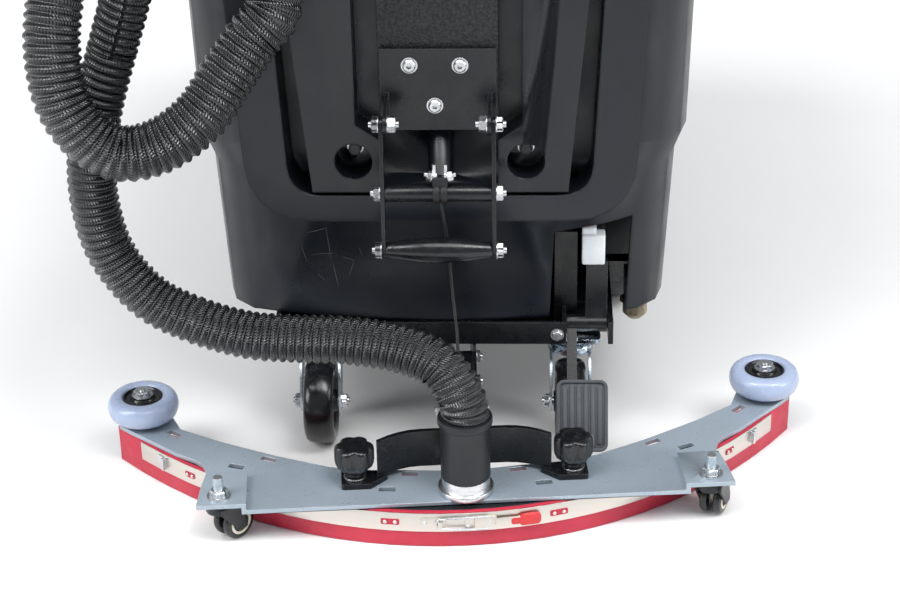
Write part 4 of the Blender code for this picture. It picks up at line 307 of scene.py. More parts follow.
cableRoute = [onMachine(0, leverBar[0] + 0.0115, leverBar[1] - 0.002), onMachine(0.003, leverBar[0]
    + 0.014, leverBar[1] - 0.026), onMachine(0.008, -0.0385, 0.275), onMachine(0.013, -0.046,
    0.215), cableEnd + Vector((-0.001, 0.006, 0.025)), cableEnd]


# Evenly spaced points on a smooth curve through the inner points, with straight ends.
def smoothLine(points, spacing):
    inner = points[1:-1]
    ends = [inner[0] * 2 - inner[1]] + inner + [inner[-1] * 2 - inner[-2]]
    fine = [points[0]]
    for a, b, c, d in zip(ends, ends[1:], ends[2:], ends[3:]):
        for step in range(24):
            t = step / 24
            fine.append(0.5 * (2 * b + (c - a) * t + (2 * a - 5 * b + 4 * c - d) * t**2 + (3 * b - a
                - 3 * c + d) * t**3))
    fine += [inner[-1], points[-1]]
    lengths = [0.0]
    for a, b in zip(fine, fine[1:]):
        lengths.append(lengths[-1] + (b - a).length)
    count = max(2, round(lengths[-1] / spacing) + 1)
    line, index = [], 0
    for i in range(count):
        want = lengths[-1] * i / (count - 1)
        while index < len(lengths) - 2 and lengths[index + 1] < want:
            index += 1
        share = (want - lengths[index]) / max(1e-9, lengths[index + 1] - lengths[index])
        line.append(fine[index].lerp(fine[index + 1], min(1.0, share)))
    return line


def lineLength(line):
    return sum((b - a).length for a, b in zip(line, line[1:]))


def nearestIndex(line, point):
    return min(range(len(line)), key=lambda i: (line[i] - point).length)


# Black ribbed hose: glossy all over, with a woven sparkle along each rib.
def hoseMaterial():
    material = finish("ribbedHose", (0.0018, 0.0024, 0.0034), (0.0040, 0.0050, 0.0068), (0.08,
        0.18), patch=30, grain=900, depth=0.0001, edge=0.0003, sockets={"Specular IOR Level": 0.75})
    tree = material.node_tree
    shader = tree.nodes["Principled BSDF"]
    around = addNode(tree, "ShaderNodeAttribute", attribute_name="around")
    along = addNode(tree, "ShaderNodeAttribute", attribute_name="along")
    thread = addNode(tree, "ShaderNodeMath", operation="MULTIPLY_ADD")
    thread.inputs[1].default_value = math.tau * 52
    wire(tree, around.outputs["Fac"], thread.inputs[0])
    slant = addNode(tree, "ShaderNodeMath", operation="MULTIPLY")
    slant.inputs[1].default_value = 900.0
    wire(tree, along.outputs["Fac"], slant.inputs[0])
    wire(tree, slant.outputs[0], thread.inputs[2])
    wave = addNode(tree, "ShaderNodeMath", operation="SINE")
    wire(tree, thread.outputs[0], wave.inputs[0])
    weave = addNode(tree, "ShaderNodeBump", Strength=0.7, Distance=0.0005)
    wire(tree, wave.outputs[0], weave.inputs["Height"])
    wire(tree, shader.inputs["Normal"].links[0].from_socket, weave.inputs["Normal"])
    wire(tree, weave.outputs[0], shader.inputs["Normal"])
    return material


def socketNode(tree, kind, **links):
    made = tree.nodes.new(kind)
    for key, value in links.items():
        name = key.replace("_", " ")
        if isinstance(value, bpy.types.NodeSocket):
            tree.links.new(value, made.inputs[name])
        else:
            made.inputs[name].default_value = value
    return made


def mathNode(tree, operation, first, second=0.0):
    made = tree.nodes.new("ShaderNodeMath")
    made.operation = operation
    for socket, value in zip(made.inputs, (first, second)):
        if isinstance(value, bpy.types.NodeSocket):
            tree.links.new(value, socket)
        else:
            socket.default_value = value
    return made.outputs[0]


def newTree(name, numbers, counts):
    tree = bpy.data.node_groups.new(name, "GeometryNodeTree")
    sockets = [("Geometry", "Geometry")] + [(n, "Float") for n in numbers] + [(n, "Int")
        for n in counts]
    for label, kind in sockets + [("Material", "Material")]:
        tree.interface.new_socket(label, in_out="INPUT", socket_type="NodeSocket" + kind)
    tree.interface.new_socket("Geometry", in_out="OUTPUT", socket_type="NodeSocketGeometry")
    return tree, tree.nodes.new("NodeGroupInput").outputs


def endTree(tree, geometry, source):
    real = socketNode(tree, "GeometryNodeRealizeInstances", Geometry=geometry)
    made = socketNode(tree, "GeometryNodeSetMaterial", Geometry=real.outputs[0],
        Material=source["Material"])
    tree.links.new(made.outputs[0], tree.nodes.new("NodeGroupOutput").inputs[0])
    return tree


# Sweeps a round wall along the line and winds one raised rib round it.
def hoseTree():
    tree, source = newTree("ribbedHose", ("Radius", "Pitch", "Depth", "Start"), ("Rows", "Around"))
    count = mathNode(tree, "MULTIPLY", mathNode(tree, "DIVIDE",
        tree.nodes.new("GeometryNodeCurveLength").outputs[0], source["Pitch"]), source["Rows"])
    length = next(n for n in tree.nodes if n.bl_idname == "GeometryNodeCurveLength")
    tree.links.new(source["Geometry"], length.inputs["Curve"])
    even = socketNode(tree, "GeometryNodeResampleCurve", Curve=source["Geometry"], Count=count)
    place = tree.nodes.new("GeometryNodeSplineParameter")
    stored = socketNode(tree, "GeometryNodeStoreNamedAttribute", Geometry=even.outputs[0],
        Name="along", Value=mathNode(tree, "ADD", place.outputs["Length"], source["Start"]))
    rim = socketNode(tree, "GeometryNodeCurvePrimitiveCircle", Resolution=source["Around"],
        Radius=mathNode(tree, "SUBTRACT", source["Radius"], source["Depth"]))
    rimPlace = tree.nodes.new("GeometryNodeSplineParameter")
    rimStored = socketNode(tree, "GeometryNodeStoreNamedAttribute", Geometry=rim.outputs[0],
        Name="around", Value=rimPlace.outputs["Factor"])
    wall = socketNode(tree, "GeometryNodeCurveToMesh", Curve=stored.outputs[0],
        Profile_Curve=rimStored.outputs[0], Fill_Caps=True)
    along = socketNode(tree, "GeometryNodeInputNamedAttribute", Name="along")
    around = socketNode(tree, "GeometryNodeInputNamedAttribute", Name="around")
    turns = mathNode(tree, "ADD", mathNode(tree, "DIVIDE", along.outputs[0], source["Pitch"]),
        around.outputs[0])
    swell = mathNode(tree, "COSINE", mathNode(tree, "MULTIPLY", turns, math.tau))
    unit = mathNode(tree, "MULTIPLY", mathNode(tree, "ADD", swell, 1.0), 0.5)
    rib = mathNode(tree, "MULTIPLY", mathNode(tree, "POWER", unit, 0.62), source["Depth"])
    outward = tree.nodes.new("ShaderNodeVectorMath")
    outward.operation = "SCALE"
    tree.links.new(tree.nodes.new("GeometryNodeInputNormal").outputs[0], outward.inputs[0])
    tree.links.new(rib, outward.inputs["Scale"])
    moved = socketNode(tree, "GeometryNodeSetPosition", Geometry=wall.outputs[0],
        Offset=outward.outputs[0])
    return endTree(tree, moved.outputs[0], source)


# Runs a node tree on the object and keeps the plain mesh that it makes.
def runTree(holder, tree, values):
    modifier = holder.modifiers.new("nodes", "NODES")
    modifier.node_group = tree
    for item in tree.interface.items_tree:
        if item.item_type == "SOCKET" and item.in_out == "INPUT" and item.name in values:
            modifier[item.identifier] = values[item.name]
    graph = bpy.context.evaluated_depsgraph_get()
    mesh = bpy.data.meshes.new_from_object(holder.evaluated_get(graph))
    name = holder.name
    bpy.data.objects.remove(holder)
    made = bpy.data.objects.new(name, mesh)
    scene.collection.objects.link(made)
    return made


def lineObject(name, line):
    curve = bpy.data.curves.new(name, "CURVE")
    curve.dimensions = "3D"
    spline = curve.splines.new("POLY")
    spline.points.add(len(line) - 1)
    for target, point in zip(spline.points, line):
        target.co = (*point, 1)
    made = bpy.data.objects.new(name, curve)
    scene.collection.objects.link(made)
    return made


def ribbedHose(name, line, radius, start, material, tree):
    made = runTree(lineObject(name, line), tree, {"Radius": radius, "Pitch": hose["pitch"],
        "Depth": hose["depth"], "Start": start, "Rows": hose["rows"], "Around": hose["around"],
        "Material": material})
    for face in made.data.polygons:
        face.use_smooth = True
    return made


def addHoses():
    material = hoseMaterial()
    tree = hoseTree()
    line = smoothLine(suctionRoute, 0.006)
    first = nearestIndex(line, onMachine(-0.257, -0.118, 0.2225))
    second = nearestIndex(line, onMachine(-0.327, -0.080, 0.513))
    parts = (("suction_hose_foot", 0, first, ("upper_link", "squeegee"), (first, 4)),
        ("suction_hose_reach", first, second, ("swing", "upper_link"), (second, first)),
        ("suction_hose_rise", second, len(line) - 1, ("machine", "swing"), (second + 30, second)))
    start = 0.0
    for name, low, high, bodies, (fromIndex, toIndex) in parts:
        stretch = line[low:high + 1]
        made = ribbedHose(name, stretch, 0.026, start, material, tree)
        start += lineLength(stretch)
        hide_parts("suction_hose")
        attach(made, bodies[1])
        made.parent = None
        made.matrix_world = Matrix.Identity(4)
        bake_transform(made)
    line = smoothLine(drainRoute, 0.006)
    made = ribbedHose("drain_hose_ribbed", line, 0.029, 0.0, material, tree)
    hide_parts("drain_hose")
    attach(made, "machine")


# Seven-strand wire rope: a round wall with six shallow lays wound round it.
def twistedCable(line, radius):
    shape = bmesh.new()
    rings = []
    sides, run = 24, 0.0
    for i, point in enumerate(line):
        ahead = (line[min(i + 1, len(line) - 1)] - line[max(i - 1, 0)]).normalized()
        across = ahead.cross(Vector((0, 1, 0))).normalized()
        other = ahead.cross(across)
        run += (point - line[i - 1]).length if i else 0.0
        ring = []
        for k in range(sides):
            angle = math.tau * k / sides
            out = radius * (0.90 + 0.10 * abs(math.cos(3 * (angle - run * 420))))
            ring.append(shape.verts.new(point + out * (math.cos(angle) * across + math.sin(angle)
                * other)))
        rings.append(ring)
    for low, high in zip(rings, rings[1:]):
        for k in range(sides):
            shape.faces.new((low[k], low[(k + 1) % sides], high[(k + 1) % sides], high[k]))
    shape.faces.new(rings[0][::-1])
    shape.faces.new(rings[-1])
    bmesh.ops.recalc_face_normals(shape, faces=shape.faces[:])
    return shape


def addCable():
    line = smoothLine(cableRoute, 0.0012)
    first = nearestIndex(line, onMachine(0.008, -0.0385, 0.275))
    second = nearestIndex(line, onMachine(0.013, -0.046, 0.215))
    parts = (("lift_cable_top", 0, first, ("lever", "machine"), (2, first)), ("lift_cable_middle",
        first, second, ("machine", "swing"), (first, second)), ("lift_cable_foot", second, len(line)
        - 1, ("swing", "upper_link"), (second, len(line) - 3)))
    for name, low, high, bodies, (fromIndex, toIndex) in parts:
        stretch = line[low:high + 1]
        made = addPiece(name, twistedCable(stretch, 0.0018), [looks["darkCable"]], bodies[1], 0, 2,
            60, ("lift_cable",))
        made.parent = None
        made.matrix_world = Matrix.Identity(4)
        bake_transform(made)


addCamera()
dress("drain_cap", "bodyBlack", 0.0010)
addHoses()
addCable()
print("hoses and cable done")

# Fasteners
# A washer, a chamfered head or nut, and a stud end or a key socket, set on each point.
def fastenerTree():
    tree, source = newTree("fasteners", ("Radius", "Height", "Chamfer", "Washer", "Washer Height",
        "Stud", "Stud Height", "Socket"), ("Sides",))
    join = tree.nodes.new("GeometryNodeJoinGeometry")

    def drum(sides, low, high, base, top):
        shape = socketNode(tree, "GeometryNodeMeshCone", Vertices=sides, Radius_Bottom=low,
            Radius_Top=high, Depth=mathNode(tree, "SUBTRACT", top, base))
        lift = tree.nodes.new("ShaderNodeCombineXYZ")
        if isinstance(base, bpy.types.NodeSocket):
            tree.links.new(base, lift.inputs["Z"])
        else:
            lift.inputs["Z"].default_value = base
        return socketNode(tree, "GeometryNodeTransform", Geometry=shape.outputs[0],
            Translation=lift.outputs[0])

    shoulder = mathNode(tree, "SUBTRACT", source["Height"], source["Chamfer"])
    crown = mathNode(tree, "SUBTRACT", source["Radius"], source["Chamfer"])
    ending = mathNode(tree, "ADD", source["Height"], source["Stud Height"])
    body = drum(source["Sides"], source["Radius"], source["Radius"], 0.0, shoulder)
    dome = drum(source["Sides"], source["Radius"], crown, shoulder, source["Height"])
    stud = drum(20, source["Stud"], mathNode(tree, "MULTIPLY", source["Stud"], 0.86),
        source["Washer Height"], ending)
    washer = drum(36, source["Washer"], source["Washer"], 0.0, source["Washer Height"])
    depth = mathNode(tree, "MULTIPLY", source["Height"], 0.4)
    key = drum(6, source["Socket"], source["Socket"], depth, mathNode(tree, "ADD", ending, 0.001))
    for part in (body, dome, stud, washer):
        tree.links.new(part.outputs[0], join.inputs[0])
    hollow = tree.nodes.new("GeometryNodeMeshBoolean")
    hollow.operation = "DIFFERENCE"
    solid = tree.nodes.new("GeometryNodeMeshBoolean")
    solid.operation = "UNION"
    for part in (body, dome, washer):
        tree.links.new(part.outputs[0], solid.inputs["Mesh 2"])
    tree.links.new(solid.outputs[0], hollow.inputs["Mesh 1"])
    tree.links.new(key.outputs[0], hollow.inputs["Mesh 2"])
    choose = tree.nodes.new("GeometryNodeSwitch")
    choose.input_type = "GEOMETRY"
    tree.links.new(mathNode(tree, "GREATER_THAN", source["Socket"], 0.0005),
        choose.inputs["Switch"])
    tree.links.new(join.outputs[0], choose.inputs["False"])
    tree.links.new(hollow.outputs[0], choose.inputs["True"])
    turn = tree.nodes.new("GeometryNodeInputNamedAttribute")
    turn.data_type = "FLOAT_VECTOR"
    turn.inputs["Name"].default_value = "turn"
    points = socketNode(tree, "GeometryNodeInstanceOnPoints", Points=source["Geometry"],
        Instance=choose.outputs[0], Rotation=turn.outputs[0])
    return endTree(tree, points.outputs[0], source)


fastenerNodes = fastenerTree()


# One piece holding the same fastener at every (place, outward direction).
def addFasteners(name, body, look, places, radius, height, chamfer=0.0008, washer=0.0,
        washerHeight=0.0, stud=0.0, studHeight=0.0, socket=0.0, sides=6):
    data = bpy.data.meshes.new(name)
    data.from_pydata([tuple(place) for place, _ in places], [], [])
    turns = data.attributes.new("turn", "FLOAT_VECTOR", "POINT")
    for i, (_, way) in enumerate(places):
        spin = Matrix.Rotation(0.35 + 0.9 * i, 4, "Z")
        turn = Vector((0, 0, 1)).rotation_difference(Vector(way)).to_matrix().to_4x4() @ spin
        turns.data[i].vector = turn.to_euler()
    holder = bpy.data.objects.new(name, data)
    scene.collection.objects.link(holder)
    made = runTree(holder, fastenerNodes, {"Radius": radius, "Height": height, "Chamfer": chamfer,
        "Washer": washer or radius * 0.8, "Washer Height": washerHeight or 0.0004, "Stud": stud
        or radius * 0.5, "Stud Height": studHeight or 0.0001, "Socket": socket, "Sides": sides,
        "Material": looks[look]})
    for face in made.data.polygons:
        face.use_smooth = True
    made.data.set_sharp_from_angle(angle=math.radians(32))
    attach(made, body)
    return made


left, right, rearward, upward = Vector((-1, 0, 0)), Vector((1, 0, 0)), Vector((0, -1,
    0)), Vector((0, 0, 1))
squeegeeTurn = squeegeeFrame.to_3x3()


def addAllFasteners():
    bar = leverBar
    addFasteners("bracket_bolts", "machine", "zinc", [(onMachine(x, -0.0103, z), rearward) for x,
        z in ((-0.030, 0.4686), (0.0234, 0.4684), (-0.0038, 0.4234))], 0.0070, 0.0058, 0.0016,
        0.0088, 0.0015, socket=0.0029, sides=32)
    addFasteners("column_bolt_washers", "machine", "zinc", [(onMachine(side * 0.0925, 0.0197,
        0.364), rearward) for side in (-1, 1)], 0.0064, 0.0105, 0.0010, 0.0092, 0.0012,
        socket=0.0034, sides=32)
    addFasteners("frame_bolt", "machine", "zinc", [(onMachine(0.1275, -0.0052, 0.1445), rearward)],
        0.0058, 0.0040, 0.0007, 0.0074, 0.0010)
    for name, body, y, z in (("bracket_nuts", "machine", -0.050, 0.418), ("crossbar_nuts", "lever",
            *bar), ("grip_nuts", "lever", -0.060, 0.277)):
        addFasteners(name, body, "zinc", [(onMachine(side * 0.0613, y, z), side * right)
            for side in (-1, 1)], 0.0088, 0.0074, 0.0011, 0.0098, 0.0012, 0.0044, 0.0032)
    addFasteners("bracket_lock_nuts", "machine", "zinc", [(onMachine(side * 0.0523, -0.050, 0.418),
        -side * right) for side in (-1, 1)], 0.0090, 0.0092, 0.0014, 0.0100, 0.0012, 0.0046, 0.0030)
    pivots = [(onSqueegee(side * 0.0236, 0, z), side * (squeegeeTurn @ right)) for side in (-1, 1)
        for z in (0.112, 0.080)]
    addFasteners("link_pivot_nuts", "swing", "zinc", pivots, 0.0077, 0.0050, 0.0008, 0.0086, 0.0008,
        0.0042, 0.0022)
    ends = [(onSqueegee(side * 0.0236, -0.115, z), side * (squeegeeTurn @ right)) for side in (-1,
        1) for z in (0.112, 0.080)]
    addFasteners("link_end_nuts", "squeegee", "zinc", ends, 0.0072, 0.0040, 0.0008, 0.0080, 0.0008,
        0.0040, 0.0018)
    addFasteners("bumper_bolts", "squeegee", "zinc", [(onSqueegee(side * 0.355, 0, 0.0808), upward)
        for side in (-1, 1)], 0.0097, 0.0064, 0.0010, 0.0118, 0.0012, 0.0040, 0.0014)
    addFasteners("stem_nuts", "squeegee", "zinc", [(onSqueegee(side * 0.263, -0.181, 0.0570),
        upward) for side in (-1, 1)], 0.0098, 0.0086, 0.0012, 0.0128, 0.0014, 0.0057, 0.0150)
    for tag, side in (("left", -1), ("right", 1)):
        axle = [(onMachine(side * 0.143 + way * 0.0233, 0.010, 0.050), way * right) for way in (-1,
            1)]
        addFasteners(f"caster_axle_nuts_{tag}", f"caster_{tag}", "zinc", axle, 0.0083, 0.0066,
            0.0010, 0.0092, 0.0010, 0.0046, 0.0024)
        corners = [(onMachine(side * 0.143 + dx, 0.035 + dy, 0.1278), -upward) for dx in (-0.026,
            0.026) for dy in (-0.023, 0.023) if side < 0 or dx > 0 or dy > 0]
        addFasteners(f"caster_plate_bolts_{tag}", "machine", "zinc", corners, 0.0058, 0.0042,
            0.0007, 0.0070, 0.0009)
    screws = [(onMachine(x, y, 0.9002), upward) for x in (-0.205, 0.205) for y in (0.12, 0.42,
        0.70)]
    addFasteners("lid_screws", "lid", "zinc", screws, 0.0055, 0.0026, 0.0010, 0.0072, 0.0008,
        socket=0.0022, sides=28)


addAllFasteners()
print("fasteners done")


# Wheels
bumperTread = [(0.0225, 0.0555), (0.0300, 0.0550), (0.0345, 0.0560), (0.0376, 0.0590), (0.0393,
    0.0632), (0.0400, 0.0680), (0.0393, 0.0728), (0.0376, 0.0770), (0.0345, 0.0800), (0.0300,
    0.0810), (0.0250, 0.0810), (0.0236, 0.0803), (0.0225, 0.0790)]
bumperHub = [(0.0066, 0.0510), (0.0120, 0.0510), (0.0140, 0.0548), (0.0223, 0.0552), (0.0223,
    0.0792), (0.0210, 0.0799), (0.0197, 0.0790), (0.0190, 0.0774), (0.0140, 0.0774), (0.0130,
    0.0800), (0.0066, 0.0800)]


def addBumpers():
    for tag, side in (("left", -1), ("right", 1)):
        place = squeegeeFrame @ Matrix.Translation((side * 0.355, 0, 0))
        addPiece(f"bumper_tread_{tag}", turnedShape(bumperTread, 96, place), [looks["periwinkle"]],
            f"bumper_{tag}", 0, 2, 50, (f"bumper_wheel_{tag}",))
        addPiece(f"bumper_hub_{tag}", turnedShape(bumperHub, 96, place), [looks["glossRubber"]],
            f"bumper_{tag}", 0.0003, 2, 40, ())


# Adds the same profile on the other side of a wheel's middle.
def mirroredProfile(half):
    return half + [(radius, -height) for radius, height in reversed(half)]


def addCasterWheels():
    tyre = mirroredProfile([(0.0337, -0.0150), (0.0375, -0.0168), (0.0420, -0.0172), (0.0455,
        -0.0158), (0.0478, -0.0128), (0.0492, -0.0085), (0.0499, -0.0040), (0.0500, 0.0)][:-1]
        + [(0.0500, -0.0001)])
    hub = mirroredProfile([(0.0054, -0.0188), (0.0118, -0.0188), (0.0136, -0.0140), (0.0180,
        -0.0122), (0.0290, -0.0122), (0.0312, -0.0148), (0.0336, -0.0152)])
    for tag, side in (("left", -1), ("right", 1)):
        place = machineFrame @ Matrix.Translation((side * 0.143, 0.010, 0.050))
        addPiece(f"caster_tyre_{tag}", turnedShape(tyre, 96, place, "x"), [looks["glossRubber"]],
            f"caster_roller_{tag}", 0, 2, 50, (f"caster_wheel_{tag}",))
        addPiece(f"caster_hub_{tag}", turnedShape(hub, 72, place, "x"), [looks["blackRubber"]],
            f"caster_roller_{tag}", 0.0004, 2, 35, ())


def addStemWheels():
    disc = [(0.0060, 0.0034), (0.0180, 0.0034), (0.0194, 0.0044), (0.0200, 0.0064), (0.0199,
        0.0092), (0.0188, 0.0112), (0.0168, 0.0120), (0.0140, 0.0118), (0.0140, 0.0108), (0.0060,
        0.0108)]
    ring = [(0.0106, 0.0104), (0.0138, 0.0104), (0.0138, 0.0122), (0.0134, 0.0125), (0.0110,
        0.0125), (0.0106, 0.0122)]
    core = mirroredProfile([(0.0034, -0.0124), (0.0056, -0.0124), (0.0062, -0.0118), (0.0062,
        -0.0001)])
    for tag, side, turn in (("left", -1, 135), ("right", 1, 152)):
        place = (squeegeeFrame @ Matrix.Translation((side * 0.263, -0.181, 0))
            @ Matrix.Rotation(math.radians(turn), 4, "Z") @ Matrix.Translation((0, -0.018, 0.020)))
        for part, profile, look, slot, stands in (("tyres", disc, "glossRubber", "black_rubber",
                True), ("rings", ring, "cream", "black_rubber", False)):
            shape = turnedShape(profile, 64, place, "x")
            other = turnedShape([(r, -h) for r, h in profile], 64, place, "x")
            spare = bpy.data.meshes.new("spare")
            other.to_mesh(spare)
            shape.from_mesh(spare)
            addPiece(f"stem_{part}_{tag}", shape, [looks[look]], f"stem_roller_{tag}", 0, 2, 38,
                (f"stem_wheel_{tag}",) if stands else ())
        addPiece(f"stem_core_{tag}", turnedShape(core, 40, place, "x"), [looks["cream"]],
            f"stem_roller_{tag}", 0, 2, 38, ())


addBumpers()
addCasterWheels()
addStemWheels()
print("wheels done")


# Knobs, cuff and port
knob = {"radius": 0.0215, "lobes": 6, "flute": 0.20, "low": 0.0660, "x": 0.1180, "y": -0.152}
knobRings = ((0.0, 0.0), (0.50, 0.0), (0.74, 0.0010), (0.88, 0.0034), (0.97, 0.0080), (1.0, 0.0130),
    (1.0, 0.0238), (0.97, 0.0266), (0.88, 0.0285), (0.72, 0.0295), (0.54, 0.0297), (0.47, 0.0289),
    (0.40, 0.0293), (0.0, 0.0300))


def addKnobs():
    for tag, side in (("left", -1), ("right", 1)):
        place = squeegeeFrame @ Matrix.Translation((side * knob["x"], knob["y"], 0))
        shape = bmesh.new()
        sides = 120
        rings = []
        for share, height in knobRings:
            if share == 0.0:
                rings.append([shape.verts.new(place @ Vector((0, 0, knob["low"] + height)))]
                    * sides)
                continue
            ring = []
            for i in range(sides):
                angle = math.tau * i / sides
                lobe = 1 - knob["flute"] * share**3 * (0.5 - 0.5 * math.cos(knob["lobes"]
                    * angle)) ** 2.2
                out = knob["radius"] * share * lobe
                ring.append(shape.verts.new(place @ Vector((out * math.cos(angle), out
                    * math.sin(angle), knob["low"] + height))))
            rings.append(ring)
        for first, second in zip(rings, rings[1:]):
            for i in range(sides):
                j = (i + 1) % sides
                shape.faces.new(list(dict.fromkeys((first[i], first[j], second[j], second[i]))))
        bmesh.ops.recalc_face_normals(shape, faces=shape.faces[:])
        addPiece(f"knob_head_{tag}", shape, [looks["glossRubber"]], f"knob_{tag}", 0, 2, 60,
            (f"star_knob_{tag}",))
        stem = [(0.0, 0.0579), (0.0085, 0.0579), (0.0095, 0.0600), (0.0102, 0.0662), (0.0, 0.0662)]
        addPiece(f"knob_neck_{tag}", turnedShape(stem, 48, place), [looks["columnBlack"]],
            f"knob_{tag}", 0, 2, 40, ())
        washer = [(0.0, 0.0561), (0.0122, 0.0561), (0.0124, 0.0568), (0.0120, 0.0578), (0.0,
            0.0579)]
        addPiece(f"knob_washer_{tag}", turnedShape(washer, 48, place), [looks["zinc"]],
            f"knob_{tag}", 0, 2, 40, ())


def addPort():
    place = squeegeeFrame @ Matrix.Translation((0, -0.176, 0))
    cuffWall = [(0.0228, 0.0672), (0.0258, 0.0672), (0.0266, 0.0680), (0.0266, 0.0700), (0.0264,
        0.0712), (0.0266, 0.1000), (0.0267, 0.1290), (0.0276, 0.1310), (0.0291, 0.1322), (0.0293,
        0.1340), (0.0293, 0.1378), (0.0288, 0.1394), (0.0270, 0.1400), (0.0, 0.1400), (0.0, 0.1203),
        (0.0228, 0.1203)]
    addPiece("hose_cuff_sleeve", turnedShape(cuffWall, 96, place), [looks["blackRubber"]],
        "squeegee", 0, 2, 38, ("hose_cuff",))
    ring = [(0.0, 0.0493), (0.0300, 0.0493), (0.0300, 0.0540), (0.0294, 0.0550), (0.0272, 0.0553),
        (0.0262, 0.0549), (0.0258, 0.0553), (0.0258, 0.0669), (0.0225, 0.0669), (0.0225, 0.1200),
        (0.0, 0.1200)]
    addPiece("port_ring", turnedShape(ring, 96, place), [looks["alloy"]], "squeegee", 0.0002, 2, 38,
        ("suction_port",))


addKnobs()
addPort()
print("knobs and port done")


# Lift lever
def addLever():
    reach = 0.0567
    barAt = machineFrame @ Matrix.Translation((0, *leverBar))
    bar = mirroredProfile([(0.0, -reach), (0.0086, -reach), (0.0093, -reach + 0.0010), (0.0093,
        -0.0001)])
    addPiece("crossbar_tube", turnedShape(bar, 64, barAt, "x"), [looks["coatedBlack"]], "lever",
        0.0002, 2, 38, ("lever_crossbar",))
    gripAt = machineFrame @ Matrix.Translation((0, -0.060, 0.277))
    half = [(0.0044, -reach), (0.0080, -reach), (0.0088, -reach + 0.0010), (0.0089, -0.0500)]
    for i in range(18):
        share = (i + 1) / 18
        half.append((0.0089 + 0.0051 * math.sin(share * math.pi / 2), -0.0500 + 0.0499 * share))
    addPiece("grip_barrel", turnedShape(mirroredProfile(half), 72, gripAt, "x"),
        [looks["glossRubber"]], "grip", 0, 2, 38, ("lever_grip",))
    for tag in ("left", "right"):
        dress(f"lever_arm_{tag}", "coatedBlack", 0.0006, 2, 35)
    y, z = leverBar
    band = [(0.0094, -0.0036), (0.0112, -0.0036), (0.0117, -0.0030), (0.0117, 0.0030), (0.0112,
        0.0036), (0.0094, 0.0036)]
    for name, x in (("cable_band_left", -0.0020), ("cable_band_right", 0.0062)):
        at = machineFrame @ Matrix.Translation((x, y, z))
        addPiece(name, turnedShape(band, 48, at, "x"), [looks["castBlack"]], "lever", 0, 2, 40, ())
    saddle = roundedBox(onMachine(-0.0062, y - 0.0070, z + 0.0090), onMachine(0.0104, y + 0.0040, z
        + 0.0200))
    addPiece("cable_saddle", saddle, [looks["castBlack"]], "lever", 0.0016, 2, 30, ())
    grip = [(onMachine(-0.0062, y - 0.0015, z + 0.0195), left + 0.35 * upward), (onMachine(0.0104, y
        - 0.0015, z + 0.0195), right + 0.30 * upward)]
    addFasteners("clamp_nuts", "lever", "zinc", grip, 0.0054, 0.0058, 0.0008, 0.0064, 0.0008,
        0.0028, 0.0030)
    posts = [(onMachine(x, y - 0.0015, z + 0.0190), upward) for x in (-0.0040, 0.0080)]
    addFasteners("clamp_posts", "lever", "zinc", posts, 0.0040, 0.0050, 0.0006, 0.0046, 0.0007,
        0.0024, 0.0095)


def roundedBox(low, high):
    shape = bmesh.new()
    bmesh.ops.create_cube(shape, size=1.0)
    size = high - low
    bmesh.ops.transform(shape, matrix=Matrix.Translation((low + high) / 2) @ Matrix.Diagonal((*size,
        1)), verts=shape.verts[:])
    return shape


addLever()


# Pedal
pad = {"x": 0.155, "y": -0.065, "z": 0.0745, "width": 0.057, "length": 0.080, "thickness": 0.011,
    "slope": 60, "groove": 0.0024, "ribs": 6, "margin": 0.0052, "corner": 0.009, "rim": 0.0036}


# Local x across the pad, y down its face, z outwards from the face.
def padFrame():
    slope = math.radians(pad["slope"])
    across = Vector((1, 0, 0))
    down = Vector((0, -math.cos(slope), -math.sin(slope)))
    out = across.cross(down)
    turn = Matrix((across, down, out)).transposed().to_4x4()
    return Matrix.Translation(onMachine(pad["x"], pad["y"], pad["z"])) @ turn


# A rounded rectangle, drawn in by the inset.
def roundedOutline(width, length, corner, steps, inset=0.0):
    outline = []
    for cx, cy, start in ((1, 1, 0), (-1, 1, 90), (-1, -1, 180), (1, -1, 270)):
        for i in range(steps + 1):
            angle = math.radians(start + 90 * i / steps)
            outline.append((cx * (width / 2 - corner) + (corner - inset) * math.cos(angle), cy
                * (length / 2 - corner) + (corner - inset) * math.sin(angle)))
    return outline


def roundedSlab(width, length, corner, low, high, place, steps=8):
    shape = bmesh.new()
    outline = roundedOutline(width, length, corner, steps)
    rows = [[shape.verts.new(place @ Vector((x, y, z))) for x, y in outline] for z in (low, high)]
    for i in range(len(outline)):
        j = (i + 1) % len(outline)
        shape.faces.new((rows[0][i], rows[0][j], rows[1][j], rows[1][i]))
    shape.faces.new(rows[0][::-1])
    shape.faces.new(rows[1])
    bmesh.ops.recalc_face_normals(shape, faces=shape.faces[:])
    return shape


def joinShapes(shapes):
    whole = bmesh.new()
    for shape in shapes:
        spare = bpy.data.meshes.new("spare")
        shape.to_mesh(spare)
        shape.free()
        whole.from_mesh(spare)
        bpy.data.meshes.remove(spare)
    return whole


